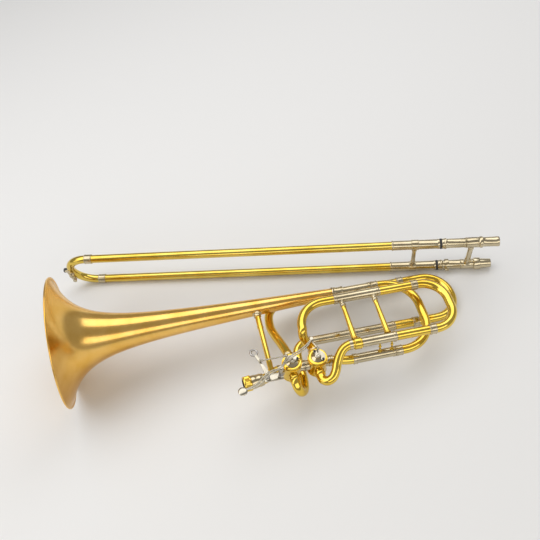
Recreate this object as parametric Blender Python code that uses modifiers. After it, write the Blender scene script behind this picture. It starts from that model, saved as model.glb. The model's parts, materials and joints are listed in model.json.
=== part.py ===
# A double-rotor bass trombone, taken apart into its bell section and its slide section.
# Metres, +Z up.  The bell section rests on its bell rim and on its lowest loop; the slide
# section stands on edge behind it.

import math

import bmesh
import bpy
from mathutils import Matrix, Vector

# --- driving dimensions, millimetres ------------------------------------------------------
MM = 0.001
GAP = 0.3                 # clearance between pieces that touch or telescope
SIDES = 12                # facets round a tube

# bell
BELL_RIM_R = 120.65
BELL_LENGTH = 515.0
BELL_WALL = 1.0
RIM_WIRE_R = 1.6
BELL_TAIL_R = 8.4
BELL_CONE = 0.032         # radius gained for each millimetre from the tail
FLARE_REACH = 68.0
BELL_SIDES = 40

# tubing
LEG_R = 7.6               # inner legs of the tuning slides
LEG_WALL = 0.7
SLEEVE_WALL = 0.7         # outer sleeves that the legs slide in
BOW_R = 8.2
BOW_WALL = 1.3
FERRULE_WALL = 1.2
NECK_R = 8.8
END_RING_LENGTH = 4.0

# tuning slides: height over the bell axis, the far leg and the near leg, where things lie along X
MAIN_NEAR_Y = -148.0
MAIN_SLEEVE_END = 583.0
MAIN_LOWER_START = 512.0
MAIN_BOW_END = 661.0
MAIN_CORNER = 58.0
G_HEIGHT = 36.0
G_FAR_Y = -39.0
G_NEAR_Y = -139.0
G_FAR_START = 503.0
G_NEAR_START = 521.0
G_SLEEVE_END = 583.0
G_BOW_END = 702.0
G_CORNER = 42.0
G_BOW_LEFT = 426.6
F_HEIGHT = -30.0
F_FAR_Y = 19.5
F_NEAR_Y = -77.0
F_START = 448.0
F_SLEEVE_END = 610.0
F_BOW_END = 742.0
F_CORNER = 46.0
FERRULE_LENGTH = 14.0
MAIN_FERRULE_AT = 2.0     # from the sleeves' ends to the bow's ferrules
G_FERRULE_AT = 62.5
F_FERRULE_AT = 37.0
LEG_OVERLAP = 52.0        # length of each inner leg inside its sleeve

# rotary valves
VALVE_Y = -142.0
F_VALVE_X = 395.0
G_VALVE_X = 441.3
CASING_R = 17.5
CASING_WALL = 2.0
CASING_HALF = 18.0
PORT_R = 9.0
PORT_BORE = 7.0
PORT_REACH = 22.85
CORE_BORE = 6.6
STEM_R = 3.0
CAP_R = 16.8
CAP_THICK = 3.8
ARM_LENGTH = 11.0
ARM_THICK = 3.0

# slide receiver on the bell section, and the tenon that enters it
RECEIVER_END = 342.0      # where the neck pipe leaves it
RECEIVER_Y = -152.8
NECK_SPLAY = math.radians(6.0)
RECEIVER_LENGTH = 22.0
RECEIVER_R = 12.2
TENON_LENGTH = 20.0
TENON_TIP_R = 8.6
TENON_ROOT_R = 9.6
NUT_R = 14.0
NUT_LENGTH = 14.0

# thumb levers
F_PIVOT = Vector((348.0, -159.0))
G_PIVOT = Vector((372.0, -159.0))
LEVER_Z = 25.0
LEVER_THICK = 3.6
POST_R = 2.0
HUB_R = 4.4
F_HORN = 26.0
F_HORN_ANGLE = math.radians(90.0)
G_HORN = 80.0
G_HORN_ANGLE = math.radians(30.0)   # half way through its travel; 0 is along the bell
F_PADDLE_AT = 48.0
G_PADDLE_AT = 77.6
PADDLE_R = 8.0
ROD_R = 1.4
ROD_BALL_R = 2.6

# bell braces
BRACE_R = 4.8
BRACE_AT = 359.0

# slide section
SLIDE_SPACING = 88.0
INNER_R = 7.25
INNER_WALL = 0.6
OUTER_WALL = 0.6
OUTER_LENGTH = 596.0
SLIDE_SLEEVE_LENGTH = 90.0
SLIDE_SLEEVE_WALL = 0.6
CORK_RING_LENGTH = 4.0
BARREL_LENGTH = 44.0
BARREL_R = 9.6
SOCKET_LENGTH = 24.0
COLLAR_R = 12.0
RECEIVER_TUBE_LENGTH = 37.0
CROOK_FERRULE_LENGTH = 15.0
CROOK_FERRULE_WALL = 1.0
BUMPER_LENGTH = 8.0
OUTER_BRACE_AT = 640.0
LOCK_RING_LENGTH = 8.0
KEY_INSET = 2.0           # water key: from the crook's middle line, its two ends
KEY_DROP = 19.0
KEY_REACH = 25.0

# how the two sections lie
SLIDE_YAW = math.radians(-14.57)
SLIDE_LEAN = math.radians(10.0)
SLIDE_START = Vector((62.1, 200.4))     # the upper slide tube over the floor, at its crook end
LAYOUT_SHIFT = Vector((-410.233, -18.379))  # brings the middle of the whole object to the origin

# --- sizes that follow from those ---------------------------------------------------------
SLEEVE_BORE = LEG_R + GAP
SLEEVE_R = SLEEVE_BORE + SLEEVE_WALL
OUTER_BORE = INNER_R + GAP
OUTER_R = OUTER_BORE + OUTER_WALL
KEY_Y = -OUTER_R - 6.85    # the water key's pivot, clear of the tube
SLIDE_SLEEVE_R = OUTER_R + GAP + SLIDE_SLEEVE_WALL
CORE_R = CASING_R - CASING_WALL - GAP
CAP_TOP = CASING_HALF + GAP + CAP_THICK
LEVER_TOP = LEVER_Z + LEVER_THICK
ROD_Z = LEVER_TOP + GAP + ROD_BALL_R
G_LEVER_TOP = ROD_Z + ROD_BALL_R + 0.5 + 3.2
CROOK_FERRULE_R = OUTER_R + GAP + CROOK_FERRULE_WALL
ARM_TRAVEL = 2 * ARM_LENGTH * math.sin(math.radians(45))
F_LEVER_TURN = 2 * math.asin(ARM_TRAVEL / 2 / F_HORN)
G_LEVER_TURN = 2 * math.asin(ARM_TRAVEL / 2 / G_HORN)


# --- shared tools -------------------------------------------------------------------------
def clearScene():
    for leftover in list(bpy.data.objects):
        bpy.data.objects.remove(leftover, do_unlink=True)


def newCollection(name):
    made = bpy.data.collections.new(name)
    bpy.context.scene.collection.children.link(made)
    return made


def newMaterial(name, colour, roughness, metallic=1.0):
    made = bpy.data.materials.new(name)
    made.use_nodes = True
    shader = made.node_tree.nodes["Principled BSDF"]
    shader.inputs["Base Color"].default_value = (*colour, 1.0)
    shader.inputs["Roughness"].default_value = roughness
    shader.inputs["Metallic"].default_value = metallic
    return made


def newFrame(name, location, rotation=(0, 0, 0), parent=None):
    """An empty that other objects hang on."""
    made = bpy.data.objects.new(name, None)
    PARTS.objects.link(made)
    made.parent = parent
    made.location = Vector(location) * MM
    made.rotation_euler = rotation
    return made


def addObject(name, data, material, parent, location=(0, 0, 0), rotation=(0, 0, 0)):
    made = bpy.data.objects.new(name, data)
    PARTS.objects.link(made)
    made.parent = parent
    made.location = Vector(location) * MM
    made.rotation_euler = rotation
    data.materials.clear()
    data.materials.append(material)
    return made


def along(axis):
    """The rotation that turns local +Z to the given direction."""
    return Vector(axis).to_track_quat("Z", "Y").to_euler()


def turned(name, profile, material, parent, location=(0, 0, 0), axis=(1, 0, 0), steps=SIDES):
    """Turns a closed outline of (radius, height) points round local Z, outer side from top to bottom."""
    mesh = bpy.data.meshes.new(name)
    points = [(radius * MM, 0, height * MM) for radius, height in profile]
    edges = [(i, (i + 1) % len(points)) for i in range(len(points))]
    mesh.from_pydata(points, edges, [])
    made = addObject(name, mesh, material, parent, location, along(axis))
    screw = made.modifiers.new("turn", "SCREW")
    screw.axis = "Z"
    screw.angle = 2 * math.pi
    screw.steps = steps
    screw.render_steps = steps
    screw.use_merge_vertices = True
    screw.merge_threshold = 0.00001
    screw.use_smooth_shade = True
    return made


def ring(outer, inner, start, end):
    """A plain tube's outline."""
    return [(outer, end), (outer, start), (inner, start), (inner, end)]


def pipe(name, points, outer, wall, material, parent, radii=None):
    """A hollow tube along the points; radii give its outer radius at each point if it changes."""
    curve = bpy.data.curves.new(name, "CURVE")
    curve.dimensions = "3D"
    curve.bevel_depth = outer * MM
    curve.bevel_resolution = (SIDES - 4) // 2
    curve.use_fill_caps = False
    spline = curve.splines.new("POLY")
    spline.points.add(len(points) - 1)
    for i, (place, point) in enumerate(zip(points, spline.points)):
        point.co = (*(Vector(place) * MM), 1.0)
        if radii:
            point.radius = radii[i] / outer
    made = addObject(name, curve, material, parent)
    shell = made.modifiers.new("wall", "SOLIDIFY")
    shell.thickness = wall * MM
    shell.offset = -1.0
    return made


def rodCurve(name, points, radius, material, parent):
    """A solid bar along the points, with closed ends."""
    curve = bpy.data.curves.new(name, "CURVE")
    curve.dimensions = "3D"
    curve.bevel_depth = radius * MM
    curve.bevel_resolution = 2
    curve.use_fill_caps = True
    spline = curve.splines.new("POLY")
    spline.points.add(len(points) - 1)
    for place, point in zip(points, spline.points):
        point.co = (*(Vector(place) * MM), 1.0)
    return addObject(name, curve, material, parent)


def asMesh(made):
    """Replaces an object by its evaluated mesh, welded, and keeps its place."""
    bpy.context.view_layer.update()
    graph = bpy.context.evaluated_depsgraph_get()
    mesh = bpy.data.meshes.new_from_object(made.evaluated_get(graph))
    name, parent, material = made.name, made.parent, made.active_material
    basis, collection = made.matrix_basis.copy(), made.users_collection[0]
    bpy.data.objects.remove(made, do_unlink=True)
    shape = bmesh.new()
    shape.from_mesh(mesh)
    bmesh.ops.remove_doubles(shape, verts=shape.verts, dist=0.000001)
    bmesh.ops.recalc_face_normals(shape, faces=shape.faces)
    shape.to_mesh(mesh)
    shape.free()
    mesh.materials.clear()
    mesh.materials.append(material)
    result = bpy.data.objects.new(name, mesh)
    collection.objects.link(result)
    result.parent = parent
    result.matrix_basis = basis
    return result


def drum(name, radius, start, end, parent, axis=(0, 0, 1), at=(0, 0, 0), sides=SIDES):
    """A solid cylinder helper from start to end along an axis."""
    mesh = bpy.data.meshes.new(name)
    shape = bmesh.new()
    lift = Matrix.Translation((0, 0, (start + end) / 2 * MM))
    bmesh.ops.create_cone(shape, cap_ends=True, segments=sides, radius1=radius * MM,
                          radius2=radius * MM, depth=(end - start) * MM, matrix=lift)
    shape.to_mesh(mesh)
    shape.free()
    return addObject(name, mesh, BRASS, parent, at, along(axis))


def slab(name, size, centre, parent, turn=0.0):
    """A box helper of the given size, turned about Z."""
    mesh = bpy.data.meshes.new(name)
    shape = bmesh.new()
    bmesh.ops.create_cube(shape, size=1.0, matrix=Matrix.Diagonal((*(Vector(size) * MM), 1.0)))
    shape.to_mesh(mesh)
    shape.free()
    return addObject(name, mesh, BRASS, parent, centre, (0, 0, turn))


def joined(base, adds=(), cuts=()):
    """Adds and then cuts helpers from an object; the helpers move to the cutters' collection."""
    for kind, helpers in (("UNION", adds), ("DIFFERENCE", cuts)):
        for helper in helpers:
            modifier = base.modifiers.new(kind.lower(), "BOOLEAN")
            modifier.operation = kind
            modifier.object = helper
            PARTS.objects.unlink(helper)
            CUTTERS.objects.link(helper)
            helper.hide_render = True
            helper.display_type = "WIRE"
    return base


def smoothPath(knots, steps=2):
    """A smooth curve through the given points, with its first and last stretches kept straight."""
    knots = [Vector(p) for p in knots]
    path = [knots[0]]
    for a, b, c, d in zip(knots, knots[1:], knots[2:], knots[3:]):
        for i in range(steps):
            t = i / steps
            path.append(0.5 * (2 * b + (c - a) * t + (2 * a - 5 * b + 4 * c - d) * t ** 2
                               + (3 * b - a - 3 * c + d) * t ** 3))
    return path + knots[-2:]


def arcPoints(centre, radius, first, last, steps, z):
    """Points on a level arc, angles in degrees."""
    turn = [math.radians(first + (last - first) * i / steps) for i in range(steps + 1)]
    return [Vector((centre[0] + radius * math.cos(t), centre[1] + radius * math.sin(t), z)) for t in turn]


# --- tuning slides ------------------------------------------------------------------------
def tuningSlide(name, reach, corner, spacing, ferruleAt, parent):
    """Two inner legs with ferrules and a bow; local X runs along the far leg from the sleeves' ends."""
    last = ferruleAt + FERRULE_LENGTH - 2
    stations = [(-LEG_OVERLAP, LEG_R), (1.0, LEG_R)]
    if ferruleAt > 3:
        stations += [(2.0, BOW_R), (ferruleAt - 1, BOW_R)]
    stations += [(ferruleAt, BOW_R + FERRULE_WALL), (last, BOW_R + FERRULE_WALL), (last + 1.0, BOW_R)]
    far = [Vector((x, 0, 0)) for x, _ in stations]
    near = [Vector((x, -spacing, 0)) for x, _ in reversed(stations)]
    bend = arcPoints((reach - corner, -corner), corner, 90, 0, 6, 0)
    bend += arcPoints((reach - corner, corner - spacing), corner, 0, -90, 6, 0)
    radii = [r for _, r in stations]
    return pipe(name, far + bend + near, BOW_R, LEG_WALL, BRASS, parent,
                radii + [BOW_R] * len(bend) + radii[::-1])


def sleeve(name, start, end, y, z, parent, material):
    """An outer sleeve with a raised ring at its open end."""
    lip = end - END_RING_LENGTH
    outline = [(SLEEVE_R + 0.7, end), (SLEEVE_R + 0.7, lip), (SLEEVE_R, lip - 0.7), (SLEEVE_R, start),
               (SLEEVE_BORE, start), (SLEEVE_BORE, end)]
    return turned(name, outline, material, parent, (0, y, z))


# --- bell section -------------------------------------------------------------------------
def bellRadius(x):
    flare = BELL_RIM_R - RIM_WIRE_R - BELL_TAIL_R - BELL_CONE * BELL_LENGTH
    return (BELL_TAIL_R + BELL_CONE * (BELL_LENGTH - x)
            + flare * (FLARE_REACH / (x + FLARE_REACH)) ** 2)


def buildBell(frame):
    start = RIM_WIRE_R + GAP
    stations = [start + (BELL_LENGTH - start) * (i / 13) ** 2.1 for i in range(14)]
    outer = [(bellRadius(x), x) for x in stations]
    inner = [(bellRadius(x) - BELL_WALL, x) for x in stations]
    turned("bell", outer[::-1] + inner, ROSE_BRASS, frame, steps=BELL_SIDES)
    wire = [(BELL_RIM_R - RIM_WIRE_R + RIM_WIRE_R * math.cos(t), RIM_WIRE_R * math.sin(t))
            for t in (math.radians(90 - 45 * i) for i in range(8))]
    turned("bell_rim", wire, BRASS, frame, steps=BELL_SIDES)
    end = BELL_LENGTH + FERRULE_LENGTH
    start = BELL_LENGTH - 8
    seat = bellRadius(start) + 2 * GAP
    wide = seat + FERRULE_WALL
    ferrule = [(SLEEVE_R + GAP + FERRULE_WALL, end), (wide, BELL_LENGTH), (wide, start), (seat, start),
               (seat, BELL_LENGTH + GAP / 2), (SLEEVE_R + GAP, BELL_LENGTH + GAP / 2), (SLEEVE_R + GAP, end)]
    turned("bell_ferrule", ferrule, NICKEL, frame, steps=24)


def buildMainTuning(frame, moving):
    sleeve("main_sleeve_upper", BELL_LENGTH + GAP, MAIN_SLEEVE_END, 0, 0, frame, NICKEL)
    sleeve("main_sleeve_lower", MAIN_LOWER_START, MAIN_SLEEVE_END, MAIN_NEAR_Y, 0, frame, NICKEL)
    tuningSlide("main_tuning_slide", MAIN_BOW_END - MAIN_SLEEVE_END, MAIN_CORNER, -MAIN_NEAR_Y,
                MAIN_FERRULE_AT, moving)


def neckPath():
    """The pipe from the first valve to the slide receiver, which points slightly away from the bell."""
    left = F_VALVE_X - PORT_REACH - GAP
    way = Vector((math.cos(NECK_SPLAY), math.sin(NECK_SPLAY)))
    end = Vector((RECEIVER_END, RECEIVER_Y))
    bend = end + way * 3
    knots = [(left, VALVE_Y, 0), (left - 3, VALVE_Y, 0), ((left - 3 + bend.x) / 2, (VALVE_Y + bend.y) / 2, 0),
             (*bend, 0), (*(end + way * GAP), 0)]
    return smoothPath(knots, 3)


def buildNeck(frame, neck, nutFrame):
    pipe("gooseneck", neckPath(), NECK_R, BOW_WALL, BRASS, frame)
    right = G_VALVE_X + PORT_REACH + GAP
    knots = [(right, VALVE_Y, 0), (right + 5, VALVE_Y, 0), (MAIN_LOWER_START - 12, MAIN_NEAR_Y, 0),
             (MAIN_LOWER_START - GAP, MAIN_NEAR_Y, 0)]
    pipe("valve_outlet_pipe", smoothPath(knots, 4), BOW_R, BOW_WALL, BRASS, frame)
    start = GAP - RECEIVER_LENGTH
    narrow = LEG_R - LEG_WALL
    body = [(RECEIVER_R - 1.5, 0), (RECEIVER_R, -6), (RECEIVER_R, start), (TENON_ROOT_R + GAP, start),
            (TENON_TIP_R + GAP, -2), (narrow, -2), (narrow, 0)]
    turned("slide_receiver", body, BRASS, neck, steps=20)
    nut = [(NUT_R - 1, NUT_LENGTH), (NUT_R, NUT_LENGTH - 2), (NUT_R, 2), (NUT_R - 1, 0),
           (COLLAR_R - 1.2, 0), (COLLAR_R - 1.2, NUT_LENGTH)]
    turned("receiver_nut", nut, BRASS, nutFrame, steps=20)


def buildBellBrace(frame):
    """A stay from the bell to the neck pipe, hollowed at its end to sit on it."""
    top = bellRadius(BRACE_AT) + GAP + 1.2
    length = -(VALVE_Y + RECEIVER_Y) / 2 - top
    outline = [(BRACE_R - 1.4, length), (BRACE_R, length - 20), (BRACE_R, 12), (BRACE_R + 1.8, 9),
               (BRACE_R, 6), (BRACE_R - 1.4, 0), (1.2, 0), (1.2, length)]
    neckCut = asMesh(rodCurve("neck_cut", neckPath(), NECK_R + 4 * GAP, BRASS, frame))
    joined(turned("bell_brace", outline, BRASS, frame, (BRACE_AT, -top, 0), (0, -1, 0)), (), (neckCut,))


def buildValve(letter, x, armAngle, frame, rotor):
    """Casing with four ports, rotor with its stem, top cap and stop arm."""
    wall = CASING_R - CASING_WALL
    outline = [(CASING_R, CASING_HALF), (CASING_R, -CASING_HALF - 2), (STEM_R + GAP, -CASING_HALF - 2),
               (STEM_R + GAP, -CASING_HALF), (wall, -CASING_HALF), (wall, CASING_HALF)]
    casing = turned(f"{letter}_valve_casing", outline, BRASS, frame, (x, VALVE_Y, 0), (0, 0, 1), 24)
    outward = ((1, 0, 0), (-1, 0, 0), (0, 1, 0), (0, -1, 0))
    at = (x, VALVE_Y, 0)
    seat = CASING_R - CASING_WALL / 2 - 0.6
    ports = [drum(f"{letter}_port_{i}", PORT_R, seat, PORT_REACH, frame, way, at)
             for i, way in enumerate(outward)]
    end = PORT_REACH + 1
    bores = [drum(f"{letter}_bore_{i}", PORT_BORE, -end, end, frame, way, at)
             for i, way in enumerate(outward[::2])]
    joined(casing, ports, bores)
    half = CASING_HALF - 2
    foot = -CASING_HALF - 3
    tip = CAP_TOP + 1.2 + ARM_THICK + 0.8
    core = [(STEM_R, tip), (STEM_R, half), (CORE_R, half), (CORE_R, -half), (STEM_R, -half), (STEM_R, foot),
            (0, foot), (0, tip)]
    core = turned(f"{letter}_valve_rotor", core, NICKEL, rotor, axis=(0, 0, 1), steps=24)
    side = CORE_R + 1.4
    passages = [drum(f"{letter}_passage_{i}", CORE_BORE, -side, side, rotor, (1, 0, 0), (0, y, 0))
                for i, y in enumerate((0, side, -side))]
    joined(core, (), passages)
    cap = [(STEM_R + 2.4, CAP_TOP), (CAP_R - 2, CAP_TOP), (CAP_R, CAP_TOP - 1.2), (CAP_R, CASING_HALF + GAP),
           (STEM_R + GAP, CASING_HALF + GAP), (STEM_R + GAP, CAP_TOP)]
    turned(f"{letter}_valve_cap", cap, BRASS, frame, (x, VALVE_Y, 0), (0, 0, 1), 24)
    low, high = CAP_TOP + 1.2, CAP_TOP + 1.2 + ARM_THICK
    tip = (ARM_LENGTH * math.cos(armAngle), ARM_LENGTH * math.sin(armAngle), 0)
    arm = drum(f"{letter}_stop_arm", STEM_R + 2.2, low, high, rotor)
    arm.active_material = NICKEL
    size = (ARM_LENGTH, 3.6, ARM_THICK - 0.2)
    bar = slab(f"{letter}_arm_bar", size, (tip[0] / 2, tip[1] / 2, (low + high) / 2), rotor, armAngle)
    end = drum(f"{letter}_arm_end", 2.8, low, high, rotor, at=tip, sides=12)
    hole = drum(f"{letter}_arm_hole", STEM_R + GAP, low - 1, high + 1, rotor)
    joined(arm, (bar, end), (hole,))


def buildLeverSaddle(frame):
    top = NECK_R + GAP + 0.3
    left = F_PIVOT.x - 5.4
    right = G_PIVOT.x + 4
    plate = slab("lever_saddle", (right - left, 14, 3), ((left + right) / 2, F_PIVOT.y, top + 1.5), frame)
    plate.active_material = NICKEL
    posts = []
    for letter, pivot, high in (("f", F_PIVOT, LEVER_TOP + 0.6), ("g", G_PIVOT, G_LEVER_TOP + 0.6)):
        posts.append(drum(f"{letter}_shoulder", 3.4, top + 1, LEVER_Z - GAP, frame, at=(*pivot, 0), sides=12))
        posts.append(drum(f"{letter}_post", POST_R, LEVER_Z - 2, high, frame, at=(*pivot, 0), sides=12))
    joined(plate, posts)


def leverBar(name, reach, angle, low, high, parent):
    """A flat bar from the pivot outwards; the angle is from +X."""
    middle = (reach / 2 * math.cos(angle), reach / 2 * math.sin(angle), (low + high) / 2)
    return slab(name, (reach, 4.6, high - low), middle, parent, angle)


def buildLevers(fLever, gLever, fRod, gRod):
    fAngle = F_HORN_ANGLE + F_LEVER_TURN / 2
    gAngle = G_HORN_ANGLE + G_LEVER_TURN / 2
    gPaddle = math.radians(202)
    hub = drum("f_thumb_lever", HUB_R, LEVER_Z, LEVER_TOP, fLever)
    hub.active_material = NICKEL
    spot = Vector((math.cos(fAngle), math.sin(fAngle), 0))
    bar = leverBar("f_bar", F_PADDLE_AT - 2, fAngle, LEVER_Z + 0.3, LEVER_TOP - 0.3, fLever)
    pad = drum("f_pad", PADDLE_R, LEVER_Z + 0.1, LEVER_TOP - 0.1, fLever, at=spot * F_PADDLE_AT)
    horn = drum("f_horn", 3.0, LEVER_Z + 0.2, LEVER_TOP - 0.2, fLever, at=spot * F_HORN, sides=12)
    hole = drum("f_lever_hole", POST_R + GAP, LEVER_Z - 1, LEVER_TOP + 1, fLever)
    joined(hub, (bar, pad, horn), (hole,))
    high = G_LEVER_TOP
    hub = drum("g_thumb_lever", HUB_R, LEVER_Z, high, gLever)
    hub.active_material = NICKEL
    spot = Vector((math.cos(gAngle), math.sin(gAngle), 0))
    out = Vector((math.cos(gPaddle), math.sin(gPaddle), 0))
    bar = leverBar("g_bar", G_HORN, gAngle, high - 3.1, high - 0.3, gLever)
    horn = drum("g_horn", 3.0, high - 3.2, high - 0.4, gLever, at=spot * G_HORN, sides=12)
    long = leverBar("g_long_bar", G_PADDLE_AT - 2, gPaddle, high - 3.2, high - 0.2, gLever)
    pad = drum("g_pad", PADDLE_R, high - 3.4, high - 0.1, gLever, at=out * G_PADDLE_AT)
    hole = drum("g_lever_hole", POST_R + GAP, LEVER_Z - 1, high + 1, gLever)
    joined(hub, (bar, horn, long, pad), (hole,))
    fTip = armTip(F_VALVE_X, F_HORN_ANGLE) - F_PIVOT - hornPlace(fAngle, F_HORN)
    gTip = armTip(G_VALVE_X, G_HORN_ANGLE) - G_PIVOT - hornPlace(gAngle, G_HORN)
    for letter, rod, tip, bend in (("f", fRod, fTip, (fTip.x - 14, 0, 0)), ("g", gRod, gTip, (1.5, -6, 0))):
        end = (*tip, 0)
        wire = asMesh(rodCurve(f"{letter}_link_rod", [(0, 0, 0), bend, end], ROD_R, NICKEL, rod))
        balls = [drum(f"{letter}_ball_{i}", ROD_BALL_R, -ROD_BALL_R, ROD_BALL_R, rod, at=at, sides=12)
                 for i, at in enumerate(((0, 0, 0), end))]
        joined(wire, balls)


def hornPlace(angle, reach):
    return Vector((reach * math.cos(angle), reach * math.sin(angle)))


def armTip(x, hornAngle):
    """Where a valve's stop arm ends at rest, 45 degrees before it runs beside its lever's horn."""
    return Vector((x, VALVE_Y)) + hornPlace(hornAngle + math.radians(45), ARM_LENGTH)


def buildGLoop(frame, moving):
    z = G_HEIGHT
    radius = (G_FAR_Y - G_NEAR_Y) / 2
    centre = (G_BOW_LEFT + radius, (G_FAR_Y + G_NEAR_Y) / 2)
    start = VALVE_Y + PORT_REACH + GAP
    x = G_VALVE_X
    arc = arcPoints(centre, radius, 180, 90, 6, z)
    knots = [(x, start, 0), (x, start + 4, 0), (x - 3, start + 11, 5), (x - 10, start + 16, 14),
             (x - 15, start + 20, 25), (G_BOW_LEFT - 1, centre[1] - 5, z - 2), arc[0], arc[1]]
    bow = smoothPath(knots) + arc[2:]
    bow.append(Vector((G_FAR_START - GAP, G_FAR_Y, z)))
    pipe("g_loop_bow", bow, BOW_R, BOW_WALL, BRASS, frame)
    low = VALVE_Y - PORT_REACH - GAP
    knots = [(x, low, 0), (x, low - 4, 0), (x + 2, low - 12, 1), (x + 9, low - 18, 5), (x + 18, low - 16, 10),
             (x + 25, low - 7, 15), (x + 30, low + 4, 20), (x + 37, low + 15, 26), (x + 46, low + 23, 32),
             (x + 57, G_NEAR_Y, z), (x + 68, G_NEAR_Y, z), (G_NEAR_START - GAP, G_NEAR_Y, z)]
    pipe("g_loop_return", smoothPath(knots), BOW_R, BOW_WALL, BRASS, frame)
    sleeve("g_sleeve_upper", G_FAR_START, G_SLEEVE_END, G_FAR_Y, z, frame, NICKEL)
    sleeve("g_sleeve_lower", G_NEAR_START, G_SLEEVE_END, G_NEAR_Y, z, frame, NICKEL)
    tuningSlide("g_tuning_slide", G_BOW_END - G_SLEEVE_END, G_CORNER, G_FAR_Y - G_NEAR_Y,
                G_FERRULE_AT, moving)
    for name, at in (("g_brace_left", G_FAR_START + 8), ("g_brace_right", G_SLEEVE_END - 11.5)):
        crossBrace(name, at, G_FAR_Y, G_NEAR_Y, z, frame)


def crossBrace(name, x, farY, nearY, z, parent):
    """A stay with a flange at each end, between two sleeves."""
    length = farY - nearY - 2 * (SLEEVE_R + GAP + 0.3)
    r = BRACE_R - 0.4
    outline = [(r + 1.6, length), (r, length - 4), (r, 4), (r + 1.6, 0), (1.2, 0), (1.2, length)]
    turned(name, outline, NICKEL, parent, (x, farY - SLEEVE_R - GAP - 0.3, z), (0, -1, 0), 12)


def buildFLoop(frame, moving):
    z = F_HEIGHT
    x = F_VALVE_X
    start = VALVE_Y + PORT_REACH + GAP
    knots = [(x, start, 0), (x, start + 5, 0), (x - 2, start + 20, -5), (x - 6, start + 42, -14),
             (x - 11, start + 66, -23), (x - 14, start + 88, -29), (x - 12, F_FAR_Y - 27, z),
             (x - 4, F_FAR_Y - 12, z), (x + 10, F_FAR_Y - 2.5, z), (x + 28, F_FAR_Y, z),
             (F_START - GAP, F_FAR_Y, z)]
    pipe("f_loop_upper", smoothPath(knots), BOW_R, BOW_WALL, BRASS, frame)
    low = VALVE_Y - PORT_REACH - GAP
    under = z - 3
    knots = [(x, low, 0), (x, low - 5, 0), (x + 3, low - 14, -8), (x + 9, low - 16, -20),
             (x + 16, low - 8, -30), (x + 20, low + 7, under), (x + 21, low + 25, under),
             (x + 21, low + 56, under), (x + 24, F_NEAR_Y - 14, under + 1), (x + 34, F_NEAR_Y - 3, z),
             (x + 45, F_NEAR_Y, z), (F_START - GAP, F_NEAR_Y, z)]
    pipe("f_loop_lower", smoothPath(knots), BOW_R, BOW_WALL, BRASS, frame)
    sleeve("f_sleeve_upper", F_START, F_SLEEVE_END, F_FAR_Y, z, frame, NICKEL)
    sleeve("f_sleeve_lower", F_START, F_SLEEVE_END, F_NEAR_Y, z, frame, NICKEL)
    tuningSlide("f_tuning_slide", F_BOW_END - F_SLEEVE_END, F_CORNER, F_FAR_Y - F_NEAR_Y,
                F_FERRULE_AT, moving)
    crossBrace("f_brace", (F_START + F_SLEEVE_END) / 2, F_FAR_Y, F_NEAR_Y, z, frame)


# --- slide section ------------------------------------------------------------------------
def buildInnerSlide(frame):
    barrelStart = OUTER_LENGTH + SLIDE_SLEEVE_LENGTH + CORK_RING_LENGTH + GAP
    barrelEnd = barrelStart + BARREL_LENGTH
    end = barrelEnd + SOCKET_LENGTH
    for side, z in (("upper", SLIDE_SPACING), ("lower", 0)):
        at = (0, 0, z)
        tube = ring(INNER_R, INNER_R - INNER_WALL, -5, barrelEnd - 4)
        turned(f"inner_slide_tube_{side}", tube, CHROME, frame, at)
        corkEnd = barrelStart - GAP
        cork = ring(BARREL_R + 0.4, INNER_R + GAP, corkEnd - CORK_RING_LENGTH + GAP, corkEnd)
        turned(f"slide_cork_{side}", cork, RUBBER, frame, at)
        step = barrelStart + 11
        barrel = [(BARREL_R - 1.0, barrelEnd), (BARREL_R - 0.6, step), (BARREL_R + 0.8, step - 2),
                  (BARREL_R + 0.8, step - 5), (BARREL_R, step - 6), (BARREL_R, barrelStart),
                  (INNER_R + GAP, barrelStart), (INNER_R + GAP, barrelEnd)]
        turned(f"cork_barrel_{side}", barrel, NICKEL, frame, at)
    start = barrelEnd + GAP
    middle = start + SOCKET_LENGTH / 2
    socketBore = TENON_TIP_R - 1.4
    brace = asMesh(turned("inner_slide_brace", ring(BARREL_R, socketBore, start, end), NICKEL, frame))
    upper = drum("upper_socket", BARREL_R, start, end, frame, (1, 0, 0), (0, 0, SLIDE_SPACING))
    sunk = BARREL_R - 1.2
    bar = drum("brace_bar", 5.6, sunk, SLIDE_SPACING - sunk, frame, (0, 0, 1), (middle, 0, 0))
    clear = drum("upper_bore", socketBore, start - 1, end + 1, frame, (1, 0, 0), (0, 0, SLIDE_SPACING))
    joined(brace, (upper, bar), (clear,))
    root = end + GAP
    mouth = [(BARREL_R, root + RECEIVER_TUBE_LENGTH), (BARREL_R - 0.6, root + 8), (BARREL_R + 1.2, root + 6),
             (BARREL_R + 1.2, root + 2), (BARREL_R - 0.2, root), (5.2, root),
             (6.4, root + RECEIVER_TUBE_LENGTH)]
    turned("mouthpiece_receiver", mouth, NICKEL, frame, (0, 0, SLIDE_SPACING), steps=20)
    step = root + 14
    tenon = [(TENON_TIP_R, step + TENON_LENGTH), (TENON_ROOT_R, step), (COLLAR_R, step - 1),
             (COLLAR_R, root + 2), (BARREL_R, root), (TENON_TIP_R - 1.6, root),
             (TENON_TIP_R - 1.6, step + TENON_LENGTH)]
    turned("slide_tenon", tenon, NICKEL, frame, steps=20)


def buildLockRing(lock):
    bore = BARREL_R - 0.6 + GAP
    band = turned("slide_lock_ring", ring(bore + 2.0, bore, 0, LOCK_RING_LENGTH), NICKEL, lock, steps=20)
    lug = slab("lock_lug", (LOCK_RING_LENGTH - 1, 4, 5), (LOCK_RING_LENGTH / 2, -bore - 2.6, 0), lock)
    joined(asMesh(band), (lug,))


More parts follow.
